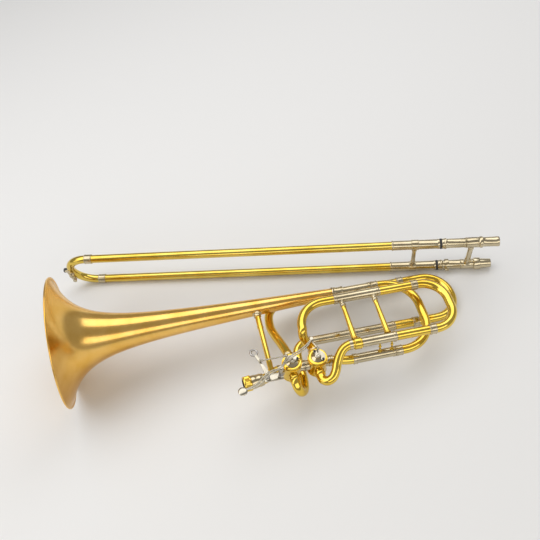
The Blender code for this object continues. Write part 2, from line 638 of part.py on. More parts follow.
def buildOuterSlide(moving):
    end = OUTER_LENGTH + SLIDE_SLEEVE_LENGTH
    for side, z in (("upper", SLIDE_SPACING), ("lower", 0)):
        at = (0, 0, z)
        start = GAP / 2 - CROOK_FERRULE_LENGTH / 2
        turned(f"outer_slide_tube_{side}", ring(OUTER_R, OUTER_BORE, start, end - 1), BRASS, moving, at)
        bore = OUTER_R + GAP
        lip = SLIDE_SLEEVE_R + 0.8
        outline = [(SLIDE_SLEEVE_R, end), (SLIDE_SLEEVE_R, OUTER_LENGTH + 3), (lip, OUTER_LENGTH + 2),
                   (lip, OUTER_LENGTH), (bore, OUTER_LENGTH), (bore, end)]
        turned(f"slide_sleeve_{side}", outline, NICKEL, moving, at)
        ferrule = ring(CROOK_FERRULE_R, bore, -CROOK_FERRULE_LENGTH, 0)
        turned(f"crook_ferrule_{side}", ferrule, NICKEL, moving, at)
    low = SLIDE_SLEEVE_R + GAP + 0.3
    high = SLIDE_SPACING - low
    r = BRACE_R
    stay = [(r + 1.8, high - low), (r, high - low - 4), (r, 4), (r + 1.8, 0), (1.2, 0), (1.2, high - low)]
    turned("outer_slide_brace", stay, NICKEL, moving, (OUTER_BRACE_AT, 0, low), (0, 0, 1), 12)
    half = SLIDE_SPACING / 2
    straight = -CROOK_FERRULE_LENGTH / 2 - GAP / 2
    bend = [Vector((-CROOK_FERRULE_LENGTH + half * math.cos(t), 0, half + half * math.sin(t)))
            for t in (math.radians(90 + 15 * i) for i in range(13))]
    crook = [Vector((straight, 0, SLIDE_SPACING)), *bend, Vector((straight, 0, 0))]
    pipe("slide_crook", crook, OUTER_R, BOW_WALL, BRASS, moving)
    tip = CROOK_FERRULE_LENGTH + half + OUTER_R + GAP + 0.4
    top = tip + BUMPER_LENGTH
    bumper = [(2.6, top), (4.2, top - 1.5), (4.8, tip), (0, tip), (0, top)]
    turned("crook_bumper", bumper, RUBBER, moving, (0, 0, half), (-1, 0, 0), 12)


def buildWaterKey(moving, key):
    """The drain on the crook's near side: a nipple, a hinged key and its cork."""
    x = -CROOK_FERRULE_LENGTH - SLIDE_SPACING / 2 + KEY_INSET
    z = SLIDE_SPACING / 2
    face = -OUTER_R - GAP - 0.2
    base = slab("water_key_saddle", (5, 2, KEY_DROP + 6), (x, face - 1, z - KEY_DROP / 2), moving)
    base.active_material = NICKEL
    size = (1.6, 1 - KEY_Y + face, 6)
    ears = [slab(f"key_ear_{i}", size, (x + side * 3.2, (KEY_Y + face) / 2 - 0.5, z), moving)
            for i, side in enumerate((-1, 1))]
    bar = slab("key_foot", (8, 2, 6), (x, face - 1, z), moving)
    pin = drum("key_pin", 1.2, -3.4, 3.4, moving, (1, 0, 0), (x, KEY_Y, z), 12)
    nipple = drum("key_nipple", 3.2, 1, -KEY_Y + face - 4.4, moving, (0, -1, 0), (x, face, z - KEY_DROP), 12)
    joined(base, (bar, *ears, pin, nipple))
    hub = drum("water_key_lever", 2.8, -2, 2, key, (1, 0, 0), sides=12)
    hub.active_material = NICKEL
    arm = slab("key_arm", (3.4, 1.8, KEY_DROP + KEY_REACH - 1), (0, -1.2, (KEY_REACH - KEY_DROP) / 2), key)
    touch = drum("key_touch", 5.0, -1.0, 1.0, key, (0, 1, 0), (0, -1.2, KEY_REACH), 12)
    cup = drum("key_cup", 4.0, -1.0, 1.0, key, (0, 1, 0), (0, -1.2, -KEY_DROP), 12)
    hole = drum("key_hole", 1.2 + GAP, -3, 3, key, (1, 0, 0), sides=12)
    joined(hub, (arm, touch, cup), (hole,))
    cork = drum("water_key_cork", 3.4, -0.2 + GAP, 3.4, key, (0, 1, 0), (0, 0, -KEY_DROP), 12)
    cork.active_material = CORK


def build():
    layout = newFrame("layout", (*LAYOUT_SHIFT, 0))
    # The slide section rests on its crook ferrule and its tenon collar.
    collarX = OUTER_LENGTH + SLIDE_SLEEVE_LENGTH + CORK_RING_LENGTH + BARREL_LENGTH + SOCKET_LENGTH + 2
    pitch = math.asin((COLLAR_R - CROOK_FERRULE_R) / collarX)
    turn = Matrix.Rotation(SLIDE_YAW, 3, "Z")
    shift = turn @ Vector((0, -SLIDE_SPACING * math.sin(SLIDE_LEAN), 0))
    slideAt = (SLIDE_START.x - shift.x, SLIDE_START.y - shift.y, CROOK_FERRULE_R)
    slide = newFrame("slide_section_frame", slideAt, (SLIDE_LEAN, -pitch, SLIDE_YAW), layout)
    outer = newFrame("outer_slide_frame", (0, 0, 0), parent=slide)
    keyX = -CROOK_FERRULE_LENGTH - SLIDE_SPACING / 2 + KEY_INSET
    key = newFrame("water_key_frame", (keyX, KEY_Y, SLIDE_SPACING / 2), parent=outer)
    lockX = OUTER_LENGTH + SLIDE_SLEEVE_LENGTH + CORK_RING_LENGTH + GAP + 13
    lock = newFrame("slide_lock_frame", (lockX, 0, 0), parent=slide)
    # The bell section rests on its rim and on the end of its lower loop.
    rimR = BELL_RIM_R - RIM_WIRE_R
    span = math.hypot(F_BOW_END, rimR + F_HEIGHT)
    tilt = math.atan2(rimR + F_HEIGHT, F_BOW_END) - math.asin((BOW_R - RIM_WIRE_R) / span)
    height = rimR * math.cos(tilt) + RIM_WIRE_R
    bell = newFrame("bell_section_frame", (0, 0, height), (0, tilt, 0), layout)
    mainTuning = newFrame("main_tuning_frame", (MAIN_SLEEVE_END, 0, 0), parent=bell)
    gTuning = newFrame("g_tuning_frame", (G_SLEEVE_END, G_FAR_Y, G_HEIGHT), parent=bell)
    fTuning = newFrame("f_tuning_frame", (F_SLEEVE_END, F_FAR_Y, F_HEIGHT), parent=bell)
    neck = newFrame("neck_frame", (RECEIVER_END, RECEIVER_Y, 0), (0, 0, NECK_SPLAY), bell)
    nut = newFrame("receiver_nut_frame", (-RECEIVER_LENGTH - NUT_LENGTH, 0, 0), parent=neck)
    fRotor = newFrame("f_rotor_frame", (F_VALVE_X, VALVE_Y, 0), parent=bell)
    gRotor = newFrame("g_rotor_frame", (G_VALVE_X, VALVE_Y, 0), parent=bell)
    fLever = newFrame("f_lever_frame", (*F_PIVOT, 0), parent=bell)
    gLever = newFrame("g_lever_frame", (*G_PIVOT, 0), parent=bell)
    fHorn = hornPlace(F_HORN_ANGLE + F_LEVER_TURN / 2, F_HORN)
    gHorn = hornPlace(G_HORN_ANGLE + G_LEVER_TURN / 2, G_HORN)
    fRod = newFrame("f_rod_frame", (*fHorn, ROD_Z), parent=fLever)
    gRod = newFrame("g_rod_frame", (*gHorn, ROD_Z), parent=gLever)
    buildInnerSlide(slide)
    buildLockRing(lock)
    buildOuterSlide(outer)
    buildWaterKey(outer, key)
    buildBell(bell)
    buildMainTuning(bell, mainTuning)
    buildNeck(bell, neck, nut)
    buildBellBrace(bell)
    buildValve("f", F_VALVE_X, F_HORN_ANGLE + math.radians(45), bell, fRotor)
    buildValve("g", G_VALVE_X, G_HORN_ANGLE + math.radians(45), bell, gRotor)
    buildLeverSaddle(bell)
    buildLevers(fLever, gLever, fRod, gRod)
    buildGLoop(bell, gTuning)
    buildFLoop(bell, fTuning)


clearScene()
PARTS = newCollection("bass_trombone")
CUTTERS = newCollection("cutters")
ROSE_BRASS = newMaterial("rose_brass_lacquer", (0.80, 0.46, 0.20), 0.16)
BRASS = newMaterial("brass_lacquer", (0.86, 0.62, 0.20), 0.16)
NICKEL = newMaterial("nickel_silver", (0.74, 0.70, 0.60), 0.22)
CHROME = newMaterial("chromed_tube", (0.80, 0.80, 0.80), 0.08)
RUBBER = newMaterial("black_rubber", (0.02, 0.02, 0.02), 0.6, 0.0)
CORK = newMaterial("cork", (0.42, 0.26, 0.14), 0.85, 0.0)
build()
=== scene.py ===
import json
import math

import bmesh
import bpy
from mathutils import Matrix, Vector


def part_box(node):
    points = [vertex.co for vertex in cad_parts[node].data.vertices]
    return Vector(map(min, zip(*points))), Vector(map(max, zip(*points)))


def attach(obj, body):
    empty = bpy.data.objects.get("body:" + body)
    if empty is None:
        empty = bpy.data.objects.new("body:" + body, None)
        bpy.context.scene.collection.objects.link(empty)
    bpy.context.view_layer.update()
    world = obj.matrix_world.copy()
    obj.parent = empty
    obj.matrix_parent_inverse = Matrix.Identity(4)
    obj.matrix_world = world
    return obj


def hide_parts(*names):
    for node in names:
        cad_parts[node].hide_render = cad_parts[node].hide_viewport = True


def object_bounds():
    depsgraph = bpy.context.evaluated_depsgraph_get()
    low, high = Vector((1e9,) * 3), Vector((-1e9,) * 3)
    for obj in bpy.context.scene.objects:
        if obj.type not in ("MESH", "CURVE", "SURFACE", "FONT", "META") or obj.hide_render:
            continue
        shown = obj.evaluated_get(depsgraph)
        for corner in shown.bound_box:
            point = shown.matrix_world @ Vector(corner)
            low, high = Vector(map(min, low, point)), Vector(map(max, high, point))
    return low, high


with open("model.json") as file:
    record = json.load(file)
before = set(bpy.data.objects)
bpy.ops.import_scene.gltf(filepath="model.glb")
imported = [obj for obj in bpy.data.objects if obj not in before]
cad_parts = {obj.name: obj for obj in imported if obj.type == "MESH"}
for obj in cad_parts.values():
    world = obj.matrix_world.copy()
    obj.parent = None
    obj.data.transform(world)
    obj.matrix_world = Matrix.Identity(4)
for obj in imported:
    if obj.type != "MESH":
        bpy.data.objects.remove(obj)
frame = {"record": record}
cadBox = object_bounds()
joints = {j["name"]: j for j in frame["record"]["behaviour"]["joints"]}


def boxMiddle(node):
    low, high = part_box(node)
    return (Vector(low) + Vector(high)) / 2


def makeFrame(origin, x, z):
    x = Vector(x).normalized()
    y = Vector(z).cross(x).normalized()
    z = x.cross(y)
    return Matrix((x, y, z)).transposed().to_4x4(), origin


def millimetres(turn, origin):
    return Matrix.Translation(origin) @ turn @ Matrix.Scale(0.001, 4)


# the bell section's frame: X along the bell from its rim, Z square to the loops
bellAt = millimetres(*makeFrame(boxMiddle("bell_rim"), joints["main_tuning"]["axis"],
                                -Vector(joints["f_valve"]["axis"])))
# the hand slide's frame: X from the crook's ferrules, Z from the lower tube to the upper one
ferruleLow = boxMiddle("crook_ferrule_lower")
ferruleHigh = boxMiddle("crook_ferrule_upper")
slideX = -Vector(joints["outer_slide"]["axis"])
ferruleHalf = 0.0075   # metres
slideAt = millimetres(*makeFrame(ferruleLow + slideX * ferruleHalf, slideX, ferruleHigh - ferruleLow))
print("frames ready")


# finishes

finishes = {
    "roseBrass": {"slot": "rose_brass", "colour": (0.92, 0.58, 0.17), "tint": (0.80, 0.45, 0.08),
                  "rough": (0.18, 0.25), "coat": 0.0, "grain": 0.008, "metal": 1.0},
    "yellowBrass": {"slot": "brass_lacquer", "colour": (0.88, 0.63, 0.11), "tint": (0.70, 0.44, 0.04),
                    "rough": (0.06, 0.13), "coat": 0.12, "grain": 0.012, "metal": 1.0},
    "slideBrass": {"slot": "brass_lacquer", "colour": (0.80, 0.60, 0.13), "tint": (0.66, 0.45, 0.06),
                   "rough": (0.08, 0.16), "coat": 0.10, "grain": 0.012, "metal": 1.0},
    "nickelSilver": {"slot": "nickel_silver", "colour": (0.66, 0.57, 0.39), "tint": (0.48, 0.40, 0.25),
                     "rough": (0.10, 0.22), "coat": 0.0, "grain": 0.016, "metal": 1.0},
    "leverNickel": {"slot": "nickel_silver", "colour": (0.60, 0.56, 0.46), "tint": (0.42, 0.38, 0.30),
                    "rough": (0.12, 0.28), "coat": 0.0, "grain": 0.03, "metal": 1.0},
    "polishedChrome": {"slot": "chromed_tube", "colour": (0.86, 0.86, 0.87), "tint": (0.76, 0.76, 0.78),
                       "rough": (0.03, 0.08), "coat": 0.0, "grain": 0.006, "metal": 1.0},
    "springSteel": {"slot": "nickel_silver", "colour": (0.50, 0.48, 0.46), "tint": (0.34, 0.32, 0.30),
                    "rough": (0.22, 0.38), "coat": 0.0, "grain": 0.05, "metal": 1.0},
    "blackRubber": {"slot": "black_rubber", "colour": (0.022, 0.022, 0.024),
                    "tint": (0.035, 0.034, 0.034),
                    "rough": (0.45, 0.65), "coat": 0.0, "grain": 0.15, "metal": 0.0},
    "keyCork": {"slot": "cork", "colour": (0.46, 0.29, 0.16), "tint": (0.24, 0.13, 0.06),
                "rough": (0.75, 0.95), "coat": 0.0, "grain": 0.5, "metal": 0.0},
}


surface = {"coatRoughness": 0.04, "driftScale": 22.0, "fineDriftScale": 900.0, "driftDetail": 5.0,
           "toneStops": (0.30, 0.62), "hazeScale": 140.0, "hazeDetail": 8.0, "hazeRoughness": 0.65,
           "hazeRange": (0.35, 0.70), "grainScale": 1100.0, "grainDetail": 3.0, "grainDepth": 0.0004}


def link(tree, source, output, target, entry):
    tree.links.new(source.outputs[output], target.inputs[entry])


def makeFinish(name, facts):
    made = bpy.data.materials.new(name)
    made.use_nodes = True
    tree = made.node_tree
    shader = tree.nodes["Principled BSDF"]
    shader.inputs["Metallic"].default_value = facts["metal"]
    shader.inputs["Coat Weight"].default_value = facts["coat"]
    shader.inputs["Coat Roughness"].default_value = surface["coatRoughness"]
    place = tree.nodes.new("ShaderNodeTexCoord")
    # slow drift of colour, as lacquer pools and metal tones differ
    drift = tree.nodes.new("ShaderNodeTexNoise")
    drift.inputs["Scale"].default_value = surface["driftScale" if facts["metal"] else "fineDriftScale"]
    drift.inputs["Detail"].default_value = surface["driftDetail"]
    link(tree, place, "Object", drift, "Vector")
    tones = tree.nodes.new("ShaderNodeValToRGB")
    for stop, share, tone in zip(tones.color_ramp.elements, surface["toneStops"], ("tint", "colour")):
        stop.position = share
        stop.color = (*facts[tone], 1)
    link(tree, drift, "Fac", tones, "Fac")
    link(tree, tones, "Color", shader, "Base Color")
    # haze and fine handling marks
    haze = tree.nodes.new("ShaderNodeTexNoise")
    haze.inputs["Scale"].default_value = surface["hazeScale"]
    haze.inputs["Detail"].default_value = surface["hazeDetail"]
    haze.inputs["Roughness"].default_value = surface["hazeRoughness"]
    link(tree, place, "Object", haze, "Vector")
    spread = tree.nodes.new("ShaderNodeMapRange")
    for side, ends in (("From", surface["hazeRange"]), ("To", facts["rough"])):
        spread.inputs[side + " Min"].default_value = ends[0]
        spread.inputs[side + " Max"].default_value = ends[1]
    link(tree, haze, "Fac", spread, "Value")
    link(tree, spread, "Result", shader, "Roughness")
    grain = tree.nodes.new("ShaderNodeTexNoise")
    grain.inputs["Scale"].default_value = surface["grainScale"]
    grain.inputs["Detail"].default_value = surface["grainDetail"]
    link(tree, place, "Object", grain, "Vector")
    bump = tree.nodes.new("ShaderNodeBump")
    bump.inputs["Strength"].default_value = facts["grain"]
    bump.inputs["Distance"].default_value = surface["grainDepth"]
    link(tree, grain, "Fac", bump, "Height")
    link(tree, bump, "Normal", shader, "Normal")
    return made


materials = {name: makeFinish(name, facts) for name, facts in finishes.items()}
print("finishes ready")


# tools for making pieces

def addPiece(name, corners, faces, finish, body, at, stands=(), sharp=38):
    mesh = bpy.data.meshes.new(name)
    mesh.from_pydata([at @ Vector(c) for c in corners], [], faces)
    shape = bmesh.new()
    shape.from_mesh(mesh)
    bmesh.ops.recalc_face_normals(shape, faces=shape.faces)
    shape.to_mesh(mesh)
    shape.free()
    mesh.polygons.foreach_set("use_smooth", [True] * len(mesh.polygons))
    mesh.set_sharp_from_angle(angle=math.radians(sharp))
    mesh.materials.append(materials[finish])
    piece = bpy.data.objects.new(name, mesh)
    bpy.context.scene.collection.objects.link(piece)
    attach(piece, body)
    if stands:
        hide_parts(*stands)
    return piece


def facing(at, spot, axis):
    # local Z along the axis
    return at @ Matrix.Translation(spot) @ Vector(axis).to_track_quat("Z", "Y").to_matrix().to_4x4()


def turned(name, outline, finish, body, at, stands=(), sides=48, knurl=None):
    # outline is (radius, height) pairs; it closes on itself, or on the axis where its ends have no radius
    corners, faces, rings = [], [], []
    for radius, height in outline:
        if radius < 0.0001:
            rings.append([len(corners)])
            corners.append((0, 0, height))
            continue
        rings.append(list(range(len(corners), len(corners) + sides)))
        cut = knurl[2] if knurl and knurl[0] <= height <= knurl[1] else 0
        for i in range(sides):
            turn = 2 * math.pi * i / sides
            r = radius - cut * (i % 2)
            corners.append((r * math.cos(turn), r * math.sin(turn), height))
    pairs = list(zip(rings, rings[1:]))
    if len(rings[0]) > 1:
        pairs.append((rings[-1], rings[0]))
    for a, b in pairs:
        for i in range(sides):
            j = (i + 1) % sides
            if len(a) == 1:
                faces.append((a[0], b[i], b[j]))
            elif len(b) == 1:
                faces.append((a[i], b[0], a[j]))
            else:
                faces.append((a[i], b[i], b[j], a[j]))
    return addPiece(name, corners, faces, finish, body, at, stands)


def smoothLine(knots, steps=8):
    knots = [Vector(k) for k in knots]
    line = [knots[0]]
    for a, b, c, d in zip(knots, knots[1:], knots[2:], knots[3:]):
        for i in range(steps):
            t = i / steps
            line.append(0.5 * (2 * b + (c - a) * t + (2 * a - 5 * b + 4 * c - d) * t ** 2
                               + (3 * b - a - 3 * c + d) * t ** 3))
    return line + knots[-2:]


def arc(middle, radius, first, last, z, steps=24):
    turns = [math.radians(first + (last - first) * i / steps) for i in range(steps + 1)]
    return [Vector((middle[0] + radius * math.cos(t), middle[1] + radius * math.sin(t),
                    z)) for t in turns]


def tube(name, line, radius, finish, body, at, stands=(), sides=32):
    # a solid round bar or pipe along a line, with flat ends
    line = [Vector(p) for p in line]
    line = [p for i, p in enumerate(line) if i == 0 or (p - line[i - 1]).length > 0.01]
    ways = []
    for i in range(len(line)):
        ways.append((line[min(i + 1, len(line) - 1)] - line[max(i - 1, 0)]).normalized())
    side = ways[0].orthogonal().normalized()
    corners, rings = [], []
    for spot, way in zip(line, ways):
        side = (side - way * side.dot(way)).normalized()
        other = way.cross(side)
        rings.append(len(corners))
        for k in range(sides):
            turn = 2 * math.pi * k / sides
            corners.append(spot + (side * math.cos(turn) + other * math.sin(turn)) * radius)
    faces = []
    for a, b in zip(rings, rings[1:]):
        for k in range(sides):
            j = (k + 1) % sides
            faces.append((a + k, b + k, b + j, a + j))
    for ring in (rings[0], rings[-1]):
        faces.append(tuple(ring + k for k in range(sides)))
    return addPiece(name, corners, faces, finish, body, at, stands)


def plate(name, outline, low, high, finish, body, at, stands=(), soft=0.4):
    # a flat piece with a drawn outline and softened edges
    shape = bmesh.new()
    base = [shape.verts.new((x, y, low)) for x, y in outline]
    face = shape.faces.new(base)
    grown = bmesh.ops.extrude_face_region(shape, geom=[face])
    tops = [v for v in grown["geom"] if isinstance(v, bmesh.types.BMVert)]
    bmesh.ops.translate(shape, verts=tops, vec=(0, 0, high - low))
    bmesh.ops.recalc_face_normals(shape, faces=shape.faces)
    rim = [e for e in shape.edges if len(e.link_faces) == 2 and e.calc_face_angle(0) > 0.8]
    bmesh.ops.bevel(shape, geom=rim, offset=soft, segments=2, profile=0.5, affect="EDGES")
    shape.verts.index_update()
    corners = [v.co.copy() for v in shape.verts]
    faces = [tuple(v.index for v in f.verts) for f in shape.faces]
    shape.free()
    return addPiece(name, corners, faces, finish, body, at, stands, 30)


def bandOutline(inner, outer, low, high, beads=(), bead=0.6):
    # a sleeve's outline with raised beads at the given heights
    points = [(outer - 0.3, low), (outer, low + 0.3)]
    for middle in beads:
        for i in range(7):
            t = math.pi * i / 6
            points.append((outer + bead * math.sin(t), middle - bead * math.cos(t)))
    points += [(outer, high - 0.3), (outer - 0.3, high), (inner, high), (inner, low)]
    return points


def ball(radius, steps=10):
    return [(radius * math.sin(math.pi * i / steps), -radius * math.cos(math.pi * i / steps))
            for i in range(steps + 1)]


alongX = (1, 0, 0)
upZ = (0, 0, 1)


# bell

bellSizes = {"length": 515.0, "rimRadius": 119.05, "tail": 8.4, "cone": 0.032, "flareReach": 68.0,
             "sheet": 0.9, "wire": 1.6}


def bellRadius(x):
    s = bellSizes
    flare = s["rimRadius"] - s["tail"] - s["cone"] * s["length"]
    return s["tail"] + s["cone"] * (s["length"] - x) + flare * (s["flareReach"] / (x + s["flareReach"])) ** 2


def makeBell():
    s = bellSizes
    stations = [0.3 + (s["length"] - 0.3) * (i / 90) ** 2.0 for i in range(91)]
    outer = [(bellRadius(x), x) for x in stations]
    inner = [(bellRadius(x) - s["sheet"], x + 0.5 * s["sheet"] * math.exp(-x / 20)) for x in stations]
    at = facing(bellAt, (0, 0, 0), alongX)
    turned("bellBody", outer + inner[::-1], "roseBrass", "bell_section", at, ("bell",), 160)
    wire = [(s["rimRadius"] + s["wire"] * math.cos(t), s["wire"] * math.sin(t))
            for t in (math.radians(18 * i) for i in range(20))]
    turned("rolledRim", wire, "roseBrass", "bell_section", at, ("bell_rim",), 160)
    tail = bellRadius(507) + 0.5
    ferrule = [(tail, 507), (tail + 1.0, 507), (tail + 1.5, 507.8), (tail + 1.5, 509),
               (tail + 0.9, 509.8),
               (tail + 0.9, 513), (10.4, 516), (10.2, 519), (10.2, 525.4), (10.8, 526), (10.9, 527.2),
               (10.8, 528.4), (10.2, 529), (8.9, 529), (8.9, 515), (tail, 514)]
    turned("bellFerrule", ferrule, "nickelSilver", "bell_section", at, ("bell_ferrule",), 64)


makeBell()
print("bell made")


# sleeves and tuning bows

bowSizes = {"legRadius": 7.6, "bowRadius": 8.2, "ferruleRadius": 9.2, "ferruleLength": 13.0,
            "overlap": 52.0}


def makeSleeve(name, node, start, end, y, z):
    outline = [(8.3, start), (8.6, start + 0.3), (8.6, end - 4.8), (9.3, end - 4.2), (9.4, end - 2.2),
               (9.3, end - 0.4), (9.0, end), (7.9, end), (7.9, start)]
    turned(name, outline, "nickelSilver", "bell_section", facing(bellAt, (0, y, z), alongX), (node,),
           48)


def makeBow(name, node, body, start, ferruleAt, end, corner, farY, nearY, z):
    s = bowSizes
    first = start + 2 if ferruleAt > 3 else start + s["ferruleLength"] - 4
    line = [(first, farY, z), (first + 4, farY, z)]
    line += arc((end - corner, farY - corner), corner, 90, 0, z)
    line += arc((end - corner, nearY + corner), corner, 0, -90, z)
    line += [(first + 4, nearY, z), (first, nearY, z)]
    tube(name + "Bow", line, s["bowRadius"], "yellowBrass", body, bellAt, (node,), 40)
    low = start + ferruleAt - 0.8
    high = low + s["ferruleLength"]
    for side, y in (("Far", farY), ("Near", nearY)):
        at = facing(bellAt, (0, y, z), alongX)
        leg = bandOutline(6.9, s["legRadius"], start - s["overlap"], start + 3)
        turned(f"{name}Leg{side}", leg, "nickelSilver", body, at, (), 40)
        ring = bandOutline(7.7, s["ferruleRadius"], low, high, (low + 1.3, low + 3.3, high - 1.5), 0.5)
        turned(f"{name}Ferrule{side}", ring, "nickelSilver", body, at, (), 48)


makeSleeve("mainSleeveFar", "main_sleeve_upper", 527, 583, 0, 0)
makeSleeve("mainSleeveNear", "main_sleeve_lower", 512, 583, -148, 0)
makeBow("main", "main_tuning_slide", "main_bow", 583, 2, 661, 58, 0, -148, 0)
makeSleeve("gSleeveFar", "g_sleeve_upper", 503, 583, -39, 36)
makeSleeve("gSleeveNear", "g_sleeve_lower", 521, 583, -139, 36)
makeBow("gLoop", "g_tuning_slide", "g_bow", 583, 62.5, 702, 42, -39, -139, 36)
makeSleeve("fSleeveFar", "f_sleeve_upper", 448, 610, 19.5, -30)
makeSleeve("fSleeveNear", "f_sleeve_lower", 448, 610, -77, -30)
makeBow("fLoop", "f_tuning_slide", "f_bow", 610, 37, 742, 46, 19.5, -77, -30)
print("tuning bows made")


# valve loops

receiverPlan = {"spot": (342, -152.8, 0), "turn": 6.0}   # degrees
loopSizes = {"valveY": -142.0, "fX": 395.0, "gX": 441.3, "reach": 23.15, "pipe": 8.2, "neckPipe": 8.8}


def collar(name, spot, way, radius, length, finish, body="bell_section", at=bellAt, beads=True):
    places = (1.2, length - 1.2) if beads else ()
    outline = bandOutline(radius - 1.2, radius, 0, length, places, 0.5)
    return turned(name, outline, finish, body, facing(at, spot, way), (), 48)


def makeLoops():
    s = loopSizes
    y, f, g, reach = s["valveY"], s["fX"], s["gX"], s["reach"]
    body = "bell_section"
    high, low = y + reach, y - reach
    # upper loop, on the second valve
    turn = arc((476.6, -89), 50, 180, 90, 36)
    knots = [(g, high, 0), (g, high + 4, 0), (g - 3, high + 11, 5), (g - 10, high + 16, 14),
             (g - 15, high + 20, 25), (425.6, -94, 34), turn[0], turn[6]]
    line = smoothLine(knots)[:-1] + turn[1:] + [Vector((504, -39, 36))]
    tube("gLoopPipe", line, s["pipe"], "yellowBrass", body, bellAt, ("g_loop_bow",), 40)
    knots = [(g, low, 0), (g, low - 4, 0), (g + 2, low - 12, 1), (g + 9, low - 18, 5),
             (g + 18, low - 16, 10),
             (g + 25, low - 7, 15), (g + 30, low + 4, 20), (g + 37, low + 15, 26),
             (g + 46, low + 23, 32),
             (g + 57, -139, 36), (g + 68, -139, 36), (522, -139, 36)]
    tube("gReturnPipe", smoothLine(knots), s["pipe"], "yellowBrass", body, bellAt, ("g_loop_return",),
         40)
    # lower loop, on the first valve: under the bell to the far sleeve, and back under the valve
    knots = [(f, high, 0), (f, high + 5, 0), (f - 2, high + 20, -5), (f - 6, high + 42, -14),
             (f - 11, high + 66, -23), (f - 14, high + 88, -29), (f - 12, -7.5, -30), (f - 4, 7.5, -30),
             (f + 10, 17, -30), (f + 28, 19.5, -30), (450, 19.5, -30)]
    tube("fLoopPipe", smoothLine(knots), s["pipe"], "yellowBrass", body, bellAt, ("f_loop_upper",), 40)
    knots = [(f, low, 0), (f, low - 5, 0), (f + 3, low - 14, -8), (f + 9, low - 16, -20),
             (f + 16, low - 8, -30),
             (f + 20, low + 7, -33), (f + 21, low + 25, -33), (f + 21, low + 56, -33),
             (f + 24, -91, -32),
             (f + 34, -80, -30), (f + 45, -77, -30), (450, -77, -30)]
    tube("fReturnPipe", smoothLine(knots), s["pipe"], "yellowBrass", body, bellAt, ("f_loop_lower",),
         40)
    # neck pipe and the outlet to the main bow
    turn = math.radians(receiverPlan["turn"])
    way = Vector((math.cos(turn), math.sin(turn), 0))
    end = Vector(receiverPlan["spot"])
    bend = end + way * 3
    start = Vector((f - reach, y, 0))
    knots = [start, start - Vector((3, 0, 0)), (start - Vector((3, 0, 0)) + bend) / 2, bend, end]
    tube("neckPipe", smoothLine(knots), s["neckPipe"], "yellowBrass", body, bellAt, ("gooseneck",), 40)
    start = Vector((g + reach, y, 0))
    knots = [start, start + Vector((5, 0, 0)), (500, -148, 0), (513, -148, 0)]
    tube("outletPipe", smoothLine(knots), s["pipe"], "yellowBrass", body, bellAt,
         ("valve_outlet_pipe",), 40)
    collar("gFarCollar", (497, -39, 36), alongX, 9.3, 7, "nickelSilver")
    collar("gNearCollar", (506.5, -139, 36), alongX, 10.2, 13, "yellowBrass")
    collar("gNearBand", (498, -139, 36), alongX, 9.0, 6, "nickelSilver", beads=False)
    collar("fFarCollar", (441, 19.5, -30), alongX, 9.3, 8, "nickelSilver")
    collar("fNearCollar", (441, -77, -30), alongX, 9.3, 8, "nickelSilver")
    collar("mainNearCollar", (505, -148, 0), alongX, 9.4, 8, "nickelSilver")
    for name, spot, across in (("fNorth", (f, high + 0.4, 0), (0, 1, 0)),
                               ("gNorth", (g, high + 0.4, 0), (0, 1, 0)),
                               ("gEast", (g + reach + 0.4, y, 0), alongX)):
        collar(name + "Collar", spot, across, 9.5, 5.5, "nickelSilver")


makeLoops()
print("loops made")


# slide receiver and its nut

def makeReceiver():
    p = receiverPlan
    turn = Matrix.Translation(p["spot"]) @ Matrix.Rotation(math.radians(p["turn"]), 4, "Z")
    at = facing(bellAt @ turn, (0, 0, 0), alongX)
    body = [(9.9, -21.7), (12.0, -21.7), (12.2, -21.3), (12.2, -15), (11.6, -14.2), (11.4, -8),
            (11.7, -7.2),
            (11.7, -5.6), (11.2, -4.8), (10.7, -1), (10.2, 0), (6.9, 0), (6.9, -2), (8.9, -2)]
    turned("slideReceiver", body, "nickelSilver", "bell_section", at, ("slide_receiver",), 64)
    nut = [(10.8, -36), (12.8, -36), (13.6, -35.4), (14.0, -34.2), (14.0, -33.2), (13.4, -32.9),
           (13.4, -25.2),
           (14.0, -24.9), (14.0, -23.6), (13.4, -22.4), (12.8, -22), (10.8, -22)]
    turned("receiverNut", nut, "yellowBrass", "nut", at, ("receiver_nut",), 96, (-33.0, -25.1, 0.45))


makeReceiver()
print("receiver made")


# stays

staySizes = {"bellStay": 5.4, "loopStay": 5.0, "bellStayAt": 359, "gLeftAt": 511, "gRightAt": 571.5,
             "fAt": 529, "postsAt": (555, 577)}


def stayOutline(radius, length, bulges):
    points = [(0, 0), (radius + 1.6, 0.0), (radius + 1.8, 0.6), (radius + 1.0, 1.6),
              (radius - 0.6, 3.4)]
    for place, swell, half in bulges:
        for i in range(9):
            t = math.pi * i / 8
            points.append((radius - 0.6 + swell * math.sin(t) ** 2, place - half * math.cos(t)))
    points += [(radius - 0.6, length - 3.4), (radius + 1.0, length - 1.6), (radius + 1.8, length - 0.6),
               (radius + 1.6, length), (0, length)]
    return points


